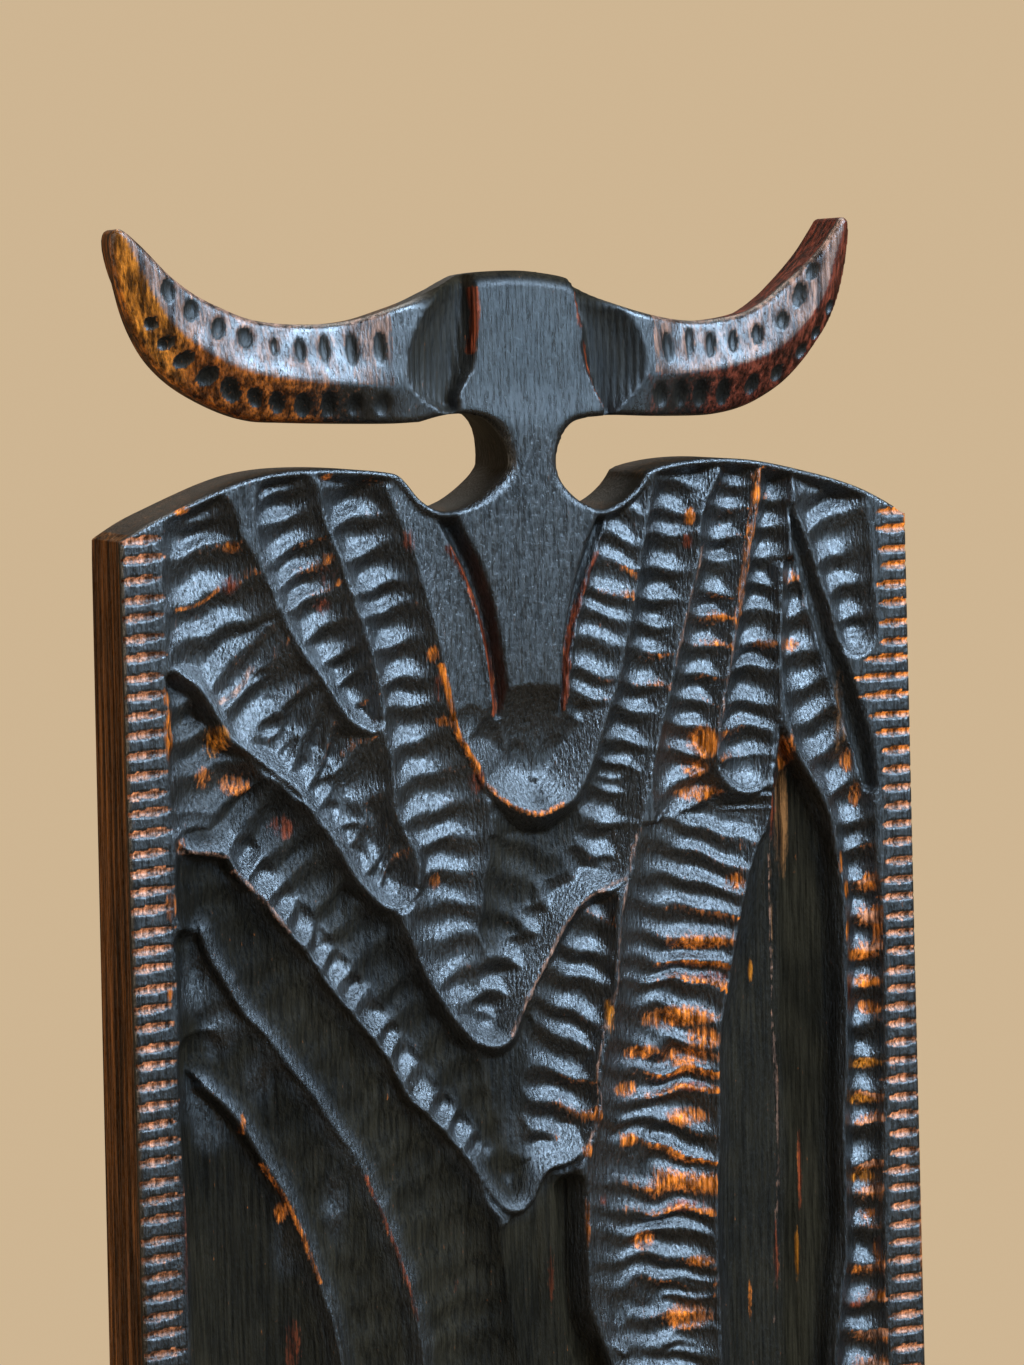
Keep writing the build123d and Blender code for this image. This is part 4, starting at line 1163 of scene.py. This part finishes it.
def wood():
    """Burnt hardwood: near-black char, duller where dry, and bare timber where it is rubbed through."""
    m = Shading("burnt_wood")
    fibre = m.noise((900, 900, 34), detail=5, rough=0.65)
    pores = m.noise((1500, 1500, 85), detail=3, rough=0.6, seed=(3, 1, 7))
    cloud = m.noise((26, 26, 15), detail=3)
    speck = m.noise((980, 980, 330), detail=4, seed=(5, 5, 5))
    show, dry, gouged = (m.attribute(name) for name in ("show", "dry", "gouged"))
    tone = m.attribute("tone", "Color")

    patchy = m.ramp(cloud, [(0.35, 0.0), (0.65, 1.0)])
    polished = m.mix(patchy, (0.0050, 0.0040, 0.0030), (0.0120, 0.0088, 0.0058))
    dusty = m.mix(patchy, (0.0095, 0.0068, 0.0038), (0.0230, 0.0164, 0.0088))
    char = m.mix(dry, polished, dusty)
    char = m.mix(1.0, char, m.ramp(fibre, [(0.38, 0.45), (0.62, 1.25)]), "MULTIPLY")
    band = m.noise((300, 300, 7), detail=3, seed=(9, 2, 4))
    bare = m.mix(1.0, tone, m.ramp(fibre, [(0.38, 0.20), (0.60, 1.25)]), "MULTIPLY")
    bare = m.mix(1.0, bare, m.ramp(band, [(0.40, 0.18), (0.63, 1.55)]), "MULTIPLY")
    ragged = m.plus(m.times(m.minus(speck, 0.5), 1.1), m.times(m.minus(fibre, 0.5), 0.9))
    amount = m.ramp(m.plus(show, m.times(ragged, 0.9)), [(0.24, 0.0), (0.74, 1.0)])
    m.link(m.mix(amount, char, bare), m.sockets["Base Color"])

    rough = m.plus(m.times(dry, 0.36), m.times(pores, 0.24))
    m.link(m.plus(rough, 0.17), m.sockets["Roughness"])
    m.link(m.minus(2.0, m.times(dry, 0.65)), m.sockets["IOR"])
    sheen = m.minus(0.60, m.times(dry, 0.56))
    crackle = m.plus(m.times(speck, 0.6), m.times(pores, 0.4))
    crackle = m.ramp(crackle, [(0.42, 1.0), (0.55, 0.0)])
    depth = m.plus(m.times(gouged, 0.42), 0.14)
    crackle = m.minus(m.minus(1.0, m.times(crackle, depth)), m.times(amount, 0.62))
    m.link(m.times(m.math("MAXIMUM", crackle, 0.0), sheen), m.sockets["Specular IOR Level"])

    pits = m.ramp(pores, [(0.30, 0.0), (0.46, 1.0)])
    normal = m.bump(fibre, 0.55, 0.0006, m.bump(pits, 0.3, 0.0003))
    wrinkle = m.times(m.minus(speck, 0.5), gouged)
    m.link(m.bump(wrinkle, 0.7, 0.0009, normal), m.sockets["Normal"])
    return m.material


def metal(name, colour, dark, roughness):
    """Plated steel with a brushed surface and dull patches."""
    m = Shading(name)
    patches = m.noise((220, 220, 220), detail=4)
    brushed = m.noise((2600, 500, 500), detail=3)
    m.link(m.mix(m.ramp(patches, [(0.42, 0.0), (0.7, 1.0)]), colour, dark), m.sockets["Base Color"])
    m.link(m.plus(m.times(patches, 0.25), roughness), m.sockets["Roughness"])
    m.sockets["Metallic"].default_value = 1.0
    m.link(m.bump(brushed, 0.12, 0.0002), m.sockets["Normal"])
    return m.material


def rubber():
    """Matt black rubber with a little dust."""
    m = Shading("bumper_rubber")
    dust = m.ramp(m.noise((300, 300, 300), detail=5), [(0.45, 0.0), (0.75, 1.0)])
    grit = m.noise((2200, 2200, 2200), detail=2)
    m.link(m.mix(dust, (0.016, 0.016, 0.017), (0.05, 0.048, 0.045)), m.sockets["Base Color"])
    m.sockets["Roughness"].default_value = 0.72
    m.link(m.bump(grit, 0.25, 0.0002), m.sockets["Normal"])
    return m.material


def studio(name, colour):
    """Pale painted surface for the floor."""
    m = Shading(name)
    pale = tuple(min(1.0, v * 1.04) for v in colour)
    m.link(m.mix(m.noise((9, 9, 9), detail=5), colour, pale), m.sockets["Base Color"])
    m.sockets["Roughness"].default_value = 0.85
    return m.material


def dress_hardware():
    """Gives each hanger and bumper node its own material."""
    brass = metal("hanger_brass", (0.60, 0.43, 0.19), (0.34, 0.22, 0.10), 0.28)
    ring = metal("ring_brass", (0.66, 0.48, 0.22), (0.40, 0.27, 0.12), 0.22)
    zinc = metal("screw_zinc", (0.58, 0.58, 0.56), (0.36, 0.35, 0.33), 0.30)
    black = rubber()
    for name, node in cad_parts.items():
        if "strap" in name:
            chosen = brass
        elif "ring" in name:
            chosen = ring
        elif "screw" in name or "washer" in name:
            chosen = zinc
        elif "bumper" in name:
            chosen = black
        else:
            continue
        for slot in node.material_slots:
            slot.material = chosen


# ------------------------------------------------------------------ studio
# name, azimuth and elevation in degrees, distance, size, watts, colour
LIGHTS = [
    ("window", 23, 41, 1.9, (0.95, 1.2), 118, (0.52, 0.74, 1.0)),
    ("low_window", 22, -2, 2.2, (0.8, 1.1), 9.5, (0.44, 0.72, 1.0)),
    ("left_fill", -99, 12, 2.2, (0.8, 1.4), 17, (1.0, 0.84, 0.66)),
    ("back_fill", 180, 62, 2.2, (1.6, 1.2), 26, (1.0, 0.96, 0.9)),
]
FLOOR_RADIUS = 0.62
FLOOR_SIDES = 96
CAMERA_TURN, CAMERA_DOWN, CAMERA_ROLL = 20, 4.575, -1.315  # degrees
CAMERA_PLACE = (-558.2, -1555.2 + BACK_Y, 553.9)
CAMERA_LENS = 118.7
ROOM_LIGHT = (0.125, 0.092, 0.052, 1)
ROOM_SEEN = (0.62, 0.465, 0.29, 1)


def set_camera():
    """A long lens from the left and a little above, as the plank was seen."""
    turn, down, roll = (math.radians(a) for a in (CAMERA_TURN, CAMERA_DOWN, CAMERA_ROLL))
    ahead = Vector((math.sin(turn) * math.cos(down), math.cos(turn) * math.cos(down), -math.sin(down)))
    right = ahead.cross(Vector((0, 0, 1))).normalized()
    up = right.cross(ahead)
    right2 = math.cos(roll) * right + math.sin(roll) * up
    up2 = math.cos(roll) * up - math.sin(roll) * right
    camera = bpy.data.objects.new("camera", bpy.data.cameras.new("camera"))
    camera.data.sensor_fit = "VERTICAL"
    camera.data.sensor_height = 36
    camera.data.lens = CAMERA_LENS
    place = Matrix((right2, up2, -ahead)).transposed().to_4x4()
    place.translation = Vector(CAMERA_PLACE) * MM
    camera.matrix_world = place
    bpy.context.collection.objects.link(camera)
    bpy.context.scene.camera = camera


def add_light(name, azimuth, elevation, distance, size, watts, colour):
    """A soft rectangle aimed at the plank. Azimuth 0 is straight in front, positive to the right."""
    a, e = math.radians(azimuth), math.radians(elevation)
    target = Vector((0, 0, 0.42))
    away = Vector((math.sin(a) * math.cos(e), -math.cos(a) * math.cos(e), math.sin(e)))
    data = bpy.data.lights.new(name, "AREA")
    data.shape = "RECTANGLE"
    data.size, data.size_y = size
    data.energy = watts
    data.color = colour
    light = bpy.data.objects.new(name, data)
    light.location = target + away * distance
    light.rotation_euler = away.to_track_quat("Z", "Y").to_euler()
    bpy.context.collection.objects.link(light)


def set_world():
    """A pale beige room behind, and only a little of it as light."""
    world = bpy.data.worlds.new("studio")
    bpy.context.scene.world = world
    world.use_nodes = True
    nodes, links = world.node_tree.nodes, world.node_tree.links
    room = nodes["Background"]
    room.inputs["Color"].default_value = ROOM_LIGHT
    seen = nodes.new("ShaderNodeBackground")
    seen.inputs["Color"].default_value = ROOM_SEEN
    kind = nodes.new("ShaderNodeLightPath")
    both = nodes.new("ShaderNodeMixShader")
    links.new(kind.outputs["Is Camera Ray"], both.inputs[0])
    links.new(room.outputs[0], both.inputs[1])
    links.new(seen.outputs[0], both.inputs[2])
    links.new(both.outputs[0], nodes["World Output"].inputs["Surface"])


def set_studio():
    """Lights, the room behind, and a round pale floor that the gloss doesn't see."""
    for light in LIGHTS:
        add_light(*light)
    set_world()
    bpy.context.scene.view_settings.view_transform = "Standard"
    turns = [2 * math.pi * i / FLOOR_SIDES for i in range(FLOOR_SIDES)]
    rim = [(FLOOR_RADIUS * math.cos(t), FLOOR_RADIUS * math.sin(t), 0) for t in turns]
    floor_mesh = bpy.data.meshes.new("floor")
    floor_mesh.from_pydata(rim, [], [range(FLOOR_SIDES)])
    floor = bpy.data.objects.new("floor", floor_mesh)
    floor.data.materials.append(studio("floor_paint", (0.62, 0.55, 0.45)))
    bpy.context.collection.objects.link(floor)
    floor.visible_glossy = False


set_camera()
set_studio()
board = timber()
board.data.materials.append(wood())
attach(board, "root")
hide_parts("carved_board")
dress_hardware()
